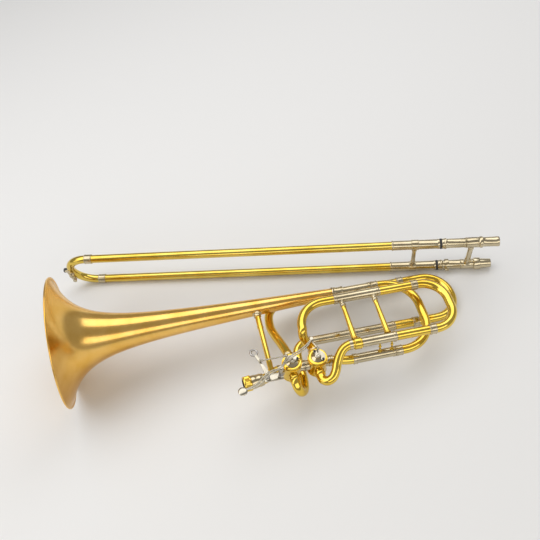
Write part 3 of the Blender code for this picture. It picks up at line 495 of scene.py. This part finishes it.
def makeStay(name, node, x, fromY, toY, z, radius, head):
    # a brass stay that swells towards its foot, under a nickel head with a ball
    length = fromY - toY
    at = facing(bellAt, (x, fromY, z), (0, -1, 0))
    top = [(0, 0), (radius + 1.2, 0), (radius + 1.3, 0.8), (radius - 0.6, 2.0), (radius - 1.2, 3.0)]
    for i in range(11):
        t = math.pi * i / 10
        top.append((radius - 1.4 + 1.9 * math.sin(t), head - 4.4 - 3.0 * math.cos(t)))
    top += [(radius - 1.0, head), (0, head)]
    turned(name + "Head", top, "nickelSilver", "bell_section", at, (), 40)
    rod = [(0, head - 0.5), (radius - 0.6, head - 0.5), (radius - 0.3, head + 1.0),
           (radius - 0.9, head + 2.2),
           (radius - 0.9, head + 9), (radius - 0.4, length * 0.5), (radius, length - 16),
           (radius, length - 5),
           (radius + 0.9, length - 4.0), (radius + 0.9, length - 2.8), (radius + 0.3, length - 2.2),
           (radius + 1.6, length - 0.8), (radius + 1.6, length), (0, length)]
    turned(name, rod, "yellowBrass", "bell_section", at, (node,), 40)


def makeStays():
    r = staySizes["bellStay"]
    x = staySizes["bellStayAt"]
    start = -bellRadius(x) + 1
    length = start + 141.5
    rod = [(0, 6), (r - 0.2, 6), (r, 6.6), (r, 30), (r + 0.5, 30.6), (r + 0.5, 33), (r - 0.5, 34),
           (r - 0.5, length - 22),
           (r - 0.1, length - 21), (r - 0.1, length - 6), (r + 0.8, length - 4.6), (r + 2.2, length),
           (0, length)]
    at = facing(bellAt, (x, start, 0), (0, -1, 0))
    turned("bellStay", rod, "yellowBrass", "bell_section", at, ("bell_brace",), 40)
    foot = [(0, 0), (8.6, 0), (8.8, 1.4), (7.4, 2.6), (r + 0.9, 4.2), (r + 0.9, 5.4), (r + 1.4, 5.8),
            (r + 1.4, 7.4),
            (r + 0.6, 8.0), (0, 8)]
    turned("bellStayFlange", foot, "nickelSilver", "bell_section", at, (), 48)
    r = staySizes["loopStay"]
    makeStay("gStayLeft", "g_brace_left", staySizes["gLeftAt"], -47.2, -130.0, 36, r, 12.5)
    makeStay("gStayRight", "g_brace_right", staySizes["gRightAt"], -47.2, -130.8, 36, r, 12.5)
    makeStay("fStay", "f_brace", staySizes["fAt"], 11.3, -68.8, -30, r, 11)
    # short posts between the near tubes
    for i, x in enumerate(staySizes["postsAt"]):
        start = Vector((x, -140.2, 27.6))
        end = Vector((x, -146.6, 8.4))
        way = end - start
        half = way.length / 2
        post = [(0, 0), (3.6, 0), (3.6, 0.8), (1.7, 2.6), (1.7, half - 1.6), (2.8, half),
                (1.7, half + 1.6),
                (1.7, 2 * half - 2.6), (3.6, 2 * half - 0.8), (3.6, 2 * half), (0, 2 * half)]
        turned(f"loopPost{i + 1}", post, "yellowBrass", "bell_section", facing(bellAt, start, way), (),
               32)


makeStays()
print("stays made")


# rotary valves

valveSizes = {"casing": 17.5, "port": 9.0, "cap": 16.8, "arm": 11.0,
              "fMiddle": 90.0, "gMiddle": 30.0}   # where each arm points half way


def screwHead(name, spot, radius, height, finish, body, at=bellAt):
    # slotted cheese-head screw; the slot is not cut but painted: a thin black sheet on the head stands in
    # for the shade in the groove
    profile = [(0, 0), (radius, 0), (radius, height - 0.4), (radius - 0.4, height), (0, height)]
    turned(name, profile, finish, body, facing(at, spot, upZ), (), 32)
    slotShadeAt = at @ Matrix.Translation(spot)
    w, l = radius * 0.14, radius * 0.86
    turn = 0.6
    ends = [(-l, -w), (l, -w), (l, w), (-l, w)]
    outline = [(x * math.cos(turn) - y * math.sin(turn), x * math.sin(turn) + y * math.cos(turn)) for x,
               y in ends]
    # painted shade: a black sheet just proud of the head, where the slot's groove would be dark
    plate(name + "PaintedSlotShade", outline, height - 0.2, height + 0.06, "blackRubber", body, slotShadeAt, (), 0.02)


def makeValve(letter, x):
    s = valveSizes
    body, rotor = "bell_section", letter + "_rotor"
    r, y = s["casing"], loopSizes["valveY"]
    at = facing(bellAt, (x, y, 0), upZ)
    shell = [(0, -20.0), (r - 5, -20.0), (r - 1.2, -19.6), (r - 0.2, -18.6), (r, -17.6), (r, -15.6),
             (r - 0.5, -15.2), (r - 0.5, 14.2), (r, 14.6), (r + 0.3, 15.2), (r + 0.3, 17.4),
             (r - 0.1, 18.0),
             (0, 18.0)]
    turned(letter + "ValveCasing", shell, "yellowBrass", body, at, (letter + "_valve_casing",), 96)
    ends = (("East", alongX), ("West", (-1, 0, 0)), ("North", (0, 1, 0)), ("South", (0, -1, 0)))
    for side, way in ends:
        port = [(0, 12), (s["port"], 12), (s["port"], 20.2), (s["port"] + 0.8, 20.7),
                (s["port"] + 0.8, 24.6),
                (s["port"] + 0.4, 25.2), (0, 25.2)]
        turned(letter + "Port" + side, port, "nickelSilver" if side in ("East",
                                                                        "West") else "yellowBrass",
               body, facing(bellAt, (x, y, 0), way), (), 56)
    # cap: a knurled brass ring round a nickel bearing plate
    c = s["cap"]
    ring = [(c - 6.0, 18.0), (c - 0.4, 18.0), (c, 18.4), (c, 21.0), (c - 0.5, 21.8), (c - 1.4, 22.1),
            (c - 4.6, 22.1), (c - 5.6, 21.6), (c - 6.0, 20.8)]
    turned(letter + "CapRing", ring, "yellowBrass", body, at, (letter + "_valve_cap",), 96,
           (18.3, 21.1, 0.3))
    hub = [(3.3, 18.4), (c - 5.9, 18.4), (c - 5.9, 20.6), (c - 6.6, 21.0), (6.2, 21.2), (5.2, 22.0),
           (3.3, 22.1)]
    turned(letter + "BearingPlate", hub, "nickelSilver", body, at, (), 64)
    foot = [(0, -22.6), (4.6, -22.6), (5.2, -22.0), (5.4, -20.6), (6.4, -19.9), (0, -19.9)]
    turned(letter + "RearBearing", foot, "nickelSilver", body, at, (), 48)
    # stop plate with two rubber stops
    middle = s[letter + "Middle"]
    sector = [(13.6 * math.cos(t), 13.6 * math.sin(t))
              for t in (math.radians(middle - 86 + 8.6 * i) for i in range(21))]
    sector += [(6.0 * math.cos(t), 6.0 * math.sin(t))
               for t in (math.radians(middle + 86 - 8.6 * i) for i in range(21))]
    flat = bellAt @ Matrix.Translation((x, y, 0))
    plate(letter + "StopPlate", sector, 21.9, 22.8, "leverNickel", body, flat, (), 0.25)
    for i, angle in enumerate((middle - 74, middle + 74)):
        t = math.radians(angle)
        spot = (x + 11.2 * math.cos(t), y + 11.2 * math.sin(t), 22.6)
        stop = [(0, 0), (2.0, 0), (2.0, 3.0), (1.7, 3.4), (0, 3.4)]
        turned(f"{letter}StopRubber{i + 1}", stop, "blackRubber", body, facing(bellAt, spot, upZ), (),
               28)
    # rotor, seen only by its stem; stop arm above it
    tip = 27.9
    core = [(0, -21), (3.0, -21), (3.0, -16), (15.0, -16), (15.0, 16), (3.0, 16), (3.0, tip - 0.6),
            (2.4, tip), (0, tip)]
    turned(letter + "RotorStem", core, "leverNickel", rotor, at, (letter + "_valve_rotor",), 48)
    armAt = bellAt @ Matrix.Translation((x, y, 0)) @ Matrix.Rotation(math.radians(middle + 45), 4, "Z")
    outline = []
    for i in range(17):
        t = math.radians(100 + 160 * i / 16)
        outline.append((5.2 * math.cos(t), 5.2 * math.sin(t)))
    for i in range(13):
        t = math.radians(-80 + 160 * i / 12)
        outline.append((s["arm"] + 2.8 * math.cos(t), 2.8 * math.sin(t)))
    plate(letter + "StopArm", outline, 23.3, 26.3, "leverNickel", rotor, armAt, (letter + "_stop_arm",),
          0.5)
    screwHead(letter + "StemScrew", (x, y, 26.3), 3.6, 2.0, "leverNickel", rotor)


makeValve("f", loopSizes["fX"])
makeValve("g", loopSizes["gX"])
print("valves made")


# thumb levers and their rods

leverSizes = {"fPivot": (348.0, -159.0), "gPivot": (372.0, -159.0), "low": 25.0, "high": 28.6,
              "gHigh": 37.8,
              "rodHeight": 31.5, "fHorn": 26.0, "gHorn": 80.0, "fPad": 48.0, "gPad": 77.6,
              "gPadAngle": 202.0}
armTravel = 2 * valveSizes["arm"] * math.sin(math.radians(45))   # straight line of a quarter turn
fTurn = 2 * math.asin(armTravel / 2 / leverSizes["fHorn"])
gTurn = 2 * math.asin(armTravel / 2 / leverSizes["gHorn"])


def polar(angle, reach):
    return Vector((reach * math.cos(angle), reach * math.sin(angle), 0))


def taperedBar(name, start, end, wide, narrow, low, high, body, pivotAt, stands=()):
    way = (end - start).normalized()
    side = Vector((-way.y, way.x, 0))
    outline = []
    for i in range(9):
        t = math.pi / 2 + math.pi * i / 8
        p = start + way * wide * math.cos(t) + side * wide * math.sin(t)
        outline.append((p.x, p.y))
    waist = start.lerp(end, 0.55) - side * (narrow * 0.8)
    outline.append((waist.x, waist.y))
    for i in range(9):
        t = -math.pi / 2 + math.pi * i / 8
        p = end + way * narrow * math.cos(t) + side * narrow * math.sin(t)
        outline.append((p.x, p.y))
    waist = start.lerp(end, 0.55) + side * (narrow * 0.8)
    outline.append((waist.x, waist.y))
    return plate(name, outline, low, high, "leverNickel", body, pivotAt, stands, 0.5)


def strand(start, end, bend, apart, height):
    # one of two strands between two places: they part in the middle and share an S curve
    start, end = Vector(start), Vector(end)
    side = (end - start).cross(Vector((0, 0, 1))).normalized()
    line = []
    for i in range(25):
        t = i / 24
        shift = (bend * math.sin(2 * math.pi * t) + apart * math.sin(math.pi * t) ** 0.6) if 0 < t < 1 else 0
        line.append(start.lerp(end, t) + side * shift + Vector((0, 0, height)))
    return line


def coil(name, spot, radius, wire, low, high, turns, body):
    steps = turns * 20
    line = []
    for i in range(steps + 1):
        t = math.pi * i / 10
        line.append(Vector((spot[0] + radius * math.cos(t), spot[1] + radius * math.sin(t),
                            low + (high - low) * i / steps)))
    tube(name, line, wire, "springSteel", body, bellAt, (), 8)


def makeLevers():
    s = leverSizes
    low, high = s["low"], s["high"]
    fAngle = math.radians(valveSizes["fMiddle"]) + fTurn / 2
    gAngle = math.radians(valveSizes["gMiddle"]) + gTurn / 2
    # first lever: a bar that ends in a thumb ring
    pivot = bellAt @ Matrix.Translation((*s["fPivot"], 0))
    end = polar(fAngle, s["fPad"])
    taperedBar("fLeverBar", Vector((0, 0, 0)), polar(fAngle, s["fPad"] - 6), 4.4, 2.4, low + 0.2,
               high - 0.2,
               "f_lever_body", pivot, ("f_thumb_lever",))
    loop = [(6.0 + 2.0 * math.cos(t), 1.7 * math.sin(t)) for t in (math.radians(24 * i) for i in range(15))]
    turned("fThumbRing", loop, "springSteel", "f_lever_body",
           facing(pivot, (end.x, end.y, (low + high) / 2), upZ), (), 56)
    # second lever: a curved pair of strands from a domed paddle over the pivot to the far horn
    pivot = bellAt @ Matrix.Translation((*s["gPivot"], 0))
    top = s["gHigh"]
    out = polar(math.radians(s["gPadAngle"]), s["gPad"])
    tip = polar(gAngle, s["gHorn"])
    for side in (-1, 1):
        tube(f"gPadStrand{side + 2}", strand(out * 0.93, (0, 0, 0), 3.4, 2.2 * side, top - 1.9), 1.35,
             "leverNickel",
             "g_lever_body", pivot, ("g_thumb_lever",), 16)
        tube(f"gHornStrand{side + 2}", strand((0, 0, 0), tip, -3.0, 2.0 * side, top - 1.9), 1.35,
             "leverNickel",
             "g_lever_body", pivot, (), 16)
    eye = [(0, 0), (3.0, 0), (3.3, 0.4), (3.3, 2.6), (2.9, 3.1), (0, 3.1)]
    turned("gHornEye", eye, "leverNickel", "g_lever_body",
           facing(pivot, (tip.x, tip.y, top - 3.3), upZ), (), 40)
    dome = [(0, 0), (7.4, 0), (8.0, 0.5), (8.0, 1.3), (7.2, 2.2), (5.4, 2.9), (3.0, 3.3), (0, 3.45)]
    turned("gPaddle", dome, "leverNickel", "g_lever_body",
           facing(pivot, (out.x, out.y, top - 3.4), upZ), (), 56)
    # rods with a ball at each end
    for letter, angle, valve in (("f", fAngle, loopSizes["fX"]), ("g", gAngle, loopSizes["gX"])):
        horn = Vector((*s[letter + "Pivot"], s["rodHeight"])) + polar(angle, s[letter + "Horn"])
        arm = polar(math.radians(valveSizes[letter + "Middle"] + 45), valveSizes["arm"])
        tip = Vector((valve, loopSizes["valveY"], s["rodHeight"])) + arm
        bend = Vector((tip.x - 14, horn.y, horn.z)) if letter == "f" else horn + Vector((1.5, -6, 0))
        body = letter + "_rod_body"
        line = smoothLine([horn - (bend - horn), horn, horn.lerp(bend, 0.5), bend, tip,
                           tip + (tip - bend)])[1:-1]
        tube(letter + "Rod", line, 1.25, "leverNickel", body, bellAt, (letter + "_link_rod",), 20)
        for i, (spot, other) in enumerate(((horn, bend), (tip, bend))):
            turned(f"{letter}RodBall{i + 1}", ball(2.6, 14), "leverNickel", body,
                   facing(bellAt, spot, upZ), (), 32)
            way = (other - spot).normalized()
            barrel = [(0, 2.0), (1.9, 2.0), (2.1, 2.4), (2.1, 5.0), (1.7, 5.5), (0, 5.5)]
            turned(f"{letter}RodEnd{i + 1}", barrel, "leverNickel", body, facing(bellAt, spot, way), (),
                   24)
            upper = letter == "g" and i == 0
            pin = [(0, 1.4), (1.2, 1.4), (1.2, 3.8), (0, 3.8)] if upper else [(0, -3.6), (1.2, -3.6),
                                                                              (1.2, -1.4), (0, -1.4)]
            owner = letter + ("_lever_body" if i == 0 else "_rotor")
            turned(f"{letter}BallPin{i + 1}", pin, "springSteel", owner, facing(bellAt, spot, upZ), (),
                   20)
    # saddle, posts, pivot screws and springs
    left, right, y = s["fPivot"][0] - 5.4, s["gPivot"][0] + 4, s["fPivot"][1]
    outline = [(left + 1, y - 7), (right - 1, y - 7), (right, y - 6), (right, y + 6),
               (right - 1, y + 7),
               (left + 1, y + 7), (left, y + 6), (left, y - 6)]
    plate("leverSaddle", outline, 9.4, 12.4, "leverNickel", "bell_section", bellAt, ("lever_saddle",),
          0.6)
    for letter, head in (("f", high), ("g", s["gHigh"])):
        spot = (*s[letter + "Pivot"], 0)
        post = [(0, 11), (4.2, 11), (4.2, 12.8), (2.9, 13.8), (2.9, 23.4), (3.4, 23.9),
                (3.4, low - 0.3), (0, low - 0.3)]
        turned(letter + "PivotPost", post, "leverNickel", "bell_section", facing(bellAt, spot, upZ), (),
               40)
        core = [(0, low), (4.4, low), (4.5, low + 0.4), (4.5, head - 0.4), (4.2, head), (0, head)]
        turned(letter + "LeverHub", core, "leverNickel", letter + "_lever_body",
               facing(bellAt, spot, upZ), (), 40)
        screwHead(letter + "PivotScrew", (*s[letter + "Pivot"], head + 0.1), 3.4, 1.6, "leverNickel",
                  "bell_section")
        coil(letter + "Spring", s[letter + "Pivot"], 3.9, 0.45, 14.2, 23.2, 6, "bell_section")


makeLevers()
print("levers made")


# hand slide

slideSizes = {"spacing": 88.0, "inner": 7.25, "outer": 8.15, "outerLength": 596.0, "sleeveLength": 90.0,
              "ferrule": 9.45, "outerStayAt": 640.0,
              "lockAt": 13.0, "lockLength": 8.0}   # the lock ring, from the cork barrel's start


def makeHandSlide():
    s = slideSizes
    still, moves = "hand_slide_inner", "hand_slide_outer"
    end = s["outerLength"] + s["sleeveLength"]
    barrelStart = end + 4.3
    barrelEnd = barrelStart + 44
    for side, z in (("upper", s["spacing"]), ("lower", 0)):
        label = side.capitalize()
        at = facing(slideAt, (0, 0, z), alongX)
        tubeWall = [(6.65, -5), (s["inner"], -5), (s["inner"], barrelEnd - 4), (6.65, barrelEnd - 4)]
        turned("innerTube" + label, tubeWall, "polishedChrome", still, at,
               ("inner_slide_tube_" + side,), 40)
        outer = [(7.55, -7.3), (s["outer"], -7.3), (s["outer"], end - 1), (7.55, end - 1)]
        turned("outerTube" + label, outer, "slideBrass", moves, at, ("outer_slide_tube_" + side,), 48)
        start = s["outerLength"]
        sleeve = [(8.45, start), (9.7, start), (9.95, start + 0.5), (9.95, start + 1.8),
                  (9.6, start + 2.4),
                  (9.1, start + 3), (9.05, end - 5), (9.4, end - 4.4), (9.5, end - 3.0),
                  (9.5, end - 0.5),
                  (9.2, end), (8.45, end)]
        turned("slideSleeve" + label, sleeve, "nickelSilver", moves, at, ("slide_sleeve_" + side,), 56)
        ferrule = bandOutline(8.2, s["ferrule"] - 0.1, -15, 0, (-13.6, -1.6), 0.4)
        turned("crookFerrule" + label, ferrule, "nickelSilver", moves, at, ("crook_ferrule_" + side,),
               56)
        cork = [(7.4, end + 0.4), (9.8, end + 0.4), (10.0, end + 0.8), (10.0, end + 3.6),
                (9.8, end + 4), (7.4, end + 4)]
        turned("corkRing" + label, cork, "blackRubber", still, at, ("slide_cork_" + side,), 48)
        a = barrelStart
        barrel = [(7.5, a), (9.4, a), (9.7, a + 0.6), (9.7, a + 4.4), (10.4, a + 5.2), (10.5, a + 6.4),
                  (10.4, a + 7.6), (9.7, a + 8.2), (9.2, a + 9), (9.0, a + 11)]
        barrel += [(8.8, a + 41), (9.3, a + 42), (9.4, a + 43), (9.2, a + 43.7), (9.0, a + 44),
                   (7.5, a + 44)]
        turned("corkBarrel" + label, barrel, "nickelSilver", still, at, ("cork_barrel_" + side,), 64)
        b = barrelEnd
        socket = [(7.2, b + 0.3), (9.4, b + 0.3), (10.0, b + 0.8), (10.1, b + 2.2), (9.5, b + 2.8),
                  (9.5, b + 3.6),
                  (9.75, b + 4.0), (9.75, b + 20.2), (9.5, b + 20.6), (9.5, b + 21.4), (10.1, b + 22),
                  (10.1, b + 23.6),
                  (9.6, b + 24.3), (7.2, b + 24.3)]
        turned("stayCollar" + label, socket, "nickelSilver", still, at, (), 96,
               (b + 3.9, b + 20.3, 0.3) if side == "upper" else None)
    middle = barrelEnd + 12.3
    length = s["spacing"] - 2 * 8.6
    bar = stayOutline(5.6, length, ((12, 0.9, 2.0), (length - 12, 0.9, 2.0)))
    turned("handStay", bar, "nickelSilver", still, facing(slideAt, (middle, 0, 8.6), upZ),
           ("inner_slide_brace",), 48)
    length = s["spacing"] - 2 * 8.8
    bar = stayOutline(4.6, length, ((12, 0.9, 2.0), (length - 12, 0.9, 2.0)))
    turned("outerStay", bar, "nickelSilver", moves, facing(slideAt, (s["outerStayAt"], 0, 8.8), upZ),
           ("outer_slide_brace",), 48)
    for label, z in (("Upper", s["spacing"]), ("Lower", 0)):
        low, high = s["outerStayAt"] - 7, s["outerStayAt"] + 7
        saddle = bandOutline(8.6, 9.8, low, high, (low + 1.4, high - 1.4), 0.4)
        turned("outerStaySaddle" + label, saddle, "nickelSilver", moves,
               facing(slideAt, (0, 0, z), alongX), (), 56)
    root = barrelEnd + 24.6
    mouth = [(5.2, root), (9.4, root), (10.8, root + 2), (10.8, root + 6), (9.2, root + 8),
             (9.0, root + 14),
             (9.3, root + 30), (9.6, root + 31), (9.6, root + 36.4), (9.2, root + 37), (6.4, root + 37)]
    at = facing(slideAt, (0, 0, s["spacing"]), alongX)
    turned("mouthpieceReceiver", mouth, "nickelSilver", still, at, ("mouthpiece_receiver",), 64)
    tenon = [(7.0, root), (9.6, root), (12.0, root + 2), (12.0, root + 12.6), (11.6, root + 13.2),
             (9.7, root + 13.6),
             (9.6, root + 14), (8.7, root + 33.4), (8.4, root + 34), (7.0, root + 34)]
    at = facing(slideAt, (0, 0, 0), alongX)
    turned("slideTenon", tenon, "nickelSilver", still, at, ("slide_tenon",), 64)
    low = barrelStart + s["lockAt"]
    high = low + s["lockLength"]
    band = [(9.3, low), (11.0, low), (11.3, low + 0.4), (11.3, high - 0.4), (11.0, high), (9.3, high)]
    turned("lockRing", band, "nickelSilver", "slide_lock", at, ("slide_lock_ring",), 96,
           (low + 0.2, high - 0.2, 0.3))
    lug = [(low + 0.5, -13.8), (high - 0.5, -13.8), (high - 0.5, -10.2), (low + 0.5, -10.2)]
    plate("lockLug", lug, -2.4, 2.4, "nickelSilver", "slide_lock", slideAt, (), 0.8)
    # crook
    half = s["spacing"] / 2
    line = [Vector((-2, 0, s["spacing"]))]
    for i in range(49):
        t = math.radians(90 + 180 * i / 48)
        line.append(Vector((-15 + half * math.cos(t), 0, half + half * math.sin(t))))
    line.append(Vector((-2, 0, 0)))
    tube("slideCrook", line, s["outer"], "slideBrass", moves, slideAt, ("slide_crook",), 40)
    guard = [(0, 66.6), (5.6, 66.6), (5.6, 67.4), (4.8, 68.0), (4.8, 74.0), (4.2, 75.6), (2.6, 76.2),
             (0, 76.2)]
    turned("crookBumper", guard, "blackRubber", moves, facing(slideAt, (0, 0, half), (-1, 0, 0)),
           ("crook_bumper",), 40)


makeHandSlide()
print("hand slide made")


# water key on the crook

keySizes = {"crookAt": -59.0, "height": 44.0, "inset": 2.0, "y": -15.0, "drop": 19.0, "reach": 25.0}


def makeWaterKey():
    s = keySizes
    x, y, z = s["crookAt"] + s["inset"], s["y"], s["height"]
    moves = "hand_slide_outer"
    at = slideAt
    nipple = [(0, 0), (3.8, 0), (3.8, 1.2), (3.0, 2.0), (2.9, 3.2), (3.2, 3.4), (3.2, 3.7), (0, 3.7)]
    turned("keyNipple", nipple, "nickelSilver", moves, facing(at, (x, -7.9, z - s["drop"]), (0, -1, 0)),
           ("water_key_saddle",), 40)
    side = at @ Matrix.Translation((x, 0, z)) @ Matrix.Rotation(math.radians(90), 4, "X")
    # local Z runs out from the crook's near side, local Y up the slide
    foot = [(-4.2, -4), (4.2, -4), (4.2, 4), (-4.2, 4)]
    plate("keyFoot", foot, 7.6, 9.6, "nickelSilver", moves, side, (), 0.5)
    for i, place in enumerate((-3.2, 3.2)):
        ear = [(place - 0.8, -2.8), (place + 0.8, -2.8), (place + 0.8, 2.8), (place - 0.8, 2.8)]
        plate(f"keyEar{i + 1}", ear, 9.0, 16.8, "nickelSilver", moves, side, (), 0.3)
    pin = [(0, -4.2), (1.3, -4.2), (1.3, 4.2), (0, 4.2)]
    turned("keyPin", pin, "springSteel", moves, facing(at, (x, y, z), alongX), (), 20)
    hub = [(1.4, -2.1), (2.7, -2.1), (2.8, -1.8), (2.8, 1.8), (2.7, 2.1), (1.4, 2.1)]
    turned("keyHub", hub, "nickelSilver", "water_key", facing(at, (x, y, z), alongX),
           ("water_key_lever",), 32)
    d, r = s["drop"], s["reach"]
    arm = [(-1.5, -d), (1.5, -d), (2.0, -6), (2.4, 0), (2.0, 8), (1.6, r - 3), (-1.6, r - 3), (-2.0, 8),
           (-2.4, 0),
           (-2.0, -6)]
    plate("keyArm", arm, -y + 0.4, -y + 2.1, "nickelSilver", "water_key", side, (), 0.4)
    touch = [(0, 0), (4.7, 0), (5.0, 0.4), (5.0, 1.1), (4.2, 1.7), (2.4, 2.1), (0, 2.2)]
    turned("keyTouch", touch, "nickelSilver", "water_key", facing(at, (x, y - 0.2, z + r), (0, -1, 0)),
           (), 40)
    cup = [(0, -0.2), (3.8, -0.2), (4.1, 0.2), (4.1, 1.6), (3.4, 2.2), (0, 2.4)]
    turned("keyCup", cup, "nickelSilver", "water_key", facing(at, (x, y, z - d), (0, -1, 0)), (), 40)
    cork = [(0, 0), (3.3, 0), (3.5, 0.3), (3.4, 3.2), (3.1, 3.4), (0, 3.4)]
    turned("keyCorkPad", cork, "keyCork", "water_key", facing(at, (x, y, z - d), (0, 1, 0)),
           ("water_key_cork",), 32)
    coilLine = []
    for i in range(81):
        t = math.pi * i / 8
        coilLine.append(Vector((x - 1.6 + 3.2 * i / 80, y + 2.1 * math.cos(t), z + 2.1 * math.sin(t))))
    tube("keySpring", coilLine, 0.35, "springSteel", moves, at, (), 8)


makeWaterKey()
print("water key made")


# floor, light and camera

studio = {"floorSize": 7.0, "floorColour": (0.83, 0.83, 0.83), "floorRoughness": 0.75,
          "world": 0.34, "worldColour": (1.0, 0.98, 0.95)}
warmWhite = (1.0, 0.97, 0.92)
lamps = {   # metres and watts
    "overheadSoftbox": {"spot": (-0.3, 0.8, 1.9), "size": (5.0, 1.7), "power": 42, "colour": (1, 1, 1)},
    "sideSoftbox": {"spot": (-1.9, -0.4, 1.2), "size": (0.9, 2.0), "power": 7, "colour": warmWhite},
    "frontSoftbox": {"spot": (0.4, -1.7, 1.2), "size": (3.6, 0.9), "power": 14, "colour": warmWhite},
}
cameraPlan = {"azimuth": 3.98, "elevation": 52.4, "roll": 10.64, "lens": 46.667,
              "offset": (-0.06553, -0.76978, 1.03958)}   # from the middle of the whole object


def makeFloor():
    half = studio["floorSize"] / 2
    mesh = bpy.data.meshes.new("studioFloor")
    corners = [(-half, -half, 0), (half, -half, 0), (half, half, 0), (-half, half, 0)]
    mesh.from_pydata(corners, [], [(0, 1, 2, 3)])
    floor = bpy.data.objects.new("studioFloor", mesh)
    bpy.context.scene.collection.objects.link(floor)
    made = bpy.data.materials.new("paleFloor")
    made.use_nodes = True
    shader = made.node_tree.nodes["Principled BSDF"]
    shader.inputs["Base Color"].default_value = (*studio["floorColour"], 1)
    shader.inputs["Roughness"].default_value = studio["floorRoughness"]
    mesh.materials.append(made)


def makeLight(name, facts):
    lamp = bpy.data.lights.new(name, "AREA")
    lamp.shape = "RECTANGLE"
    lamp.size, lamp.size_y = facts["size"]
    lamp.energy = facts["power"]
    lamp.color = facts["colour"]
    held = bpy.data.objects.new(name, lamp)
    held.location = facts["spot"]
    towards = Vector((0, 0, 0.1)) - Vector(facts["spot"])
    held.rotation_euler = towards.to_track_quat("-Z", "Y").to_euler()
    bpy.context.scene.collection.objects.link(held)


def makeWorld():
    world = bpy.data.worlds.new("studioAir")
    bpy.context.scene.world = world
    world.use_nodes = True
    air = world.node_tree.nodes["Background"]
    air.inputs["Color"].default_value = (*studio["worldColour"], 1)
    air.inputs["Strength"].default_value = studio["world"]
    # plain colour, so that the brass keeps its own
    bpy.context.scene.view_settings.view_transform = "Standard"


def makeCamera():
    low, high = cadBox
    middle = Vector(((low[0] + high[0]) / 2, (low[1] + high[1]) / 2, (low[2] + high[2]) / 2))
    az, el, roll = (math.radians(cameraPlan[k]) for k in ("azimuth", "elevation", "roll"))
    ahead = Vector((math.sin(az) * math.cos(el), math.cos(az) * math.cos(el), -math.sin(el)))
    level = ahead.cross(Vector((0, 0, 1))).normalized()
    right = level * math.cos(roll) + ahead.cross(level) * math.sin(roll)
    up = right.cross(ahead)
    eye = bpy.data.cameras.new("mainCamera")
    eye.lens = cameraPlan["lens"]
    eye.sensor_width = 36.0
    eye.clip_end = 50
    held = bpy.data.objects.new("mainCamera", eye)
    aim = Matrix((right, up, -ahead)).transposed().to_4x4()
    held.matrix_world = Matrix.Translation(middle + Vector(cameraPlan["offset"])) @ aim
    bpy.context.scene.collection.objects.link(held)
    bpy.context.scene.camera = held


makeFloor()
makeWorld()
for name, facts in lamps.items():
    makeLight(name, facts)
makeCamera()
print("studio made")
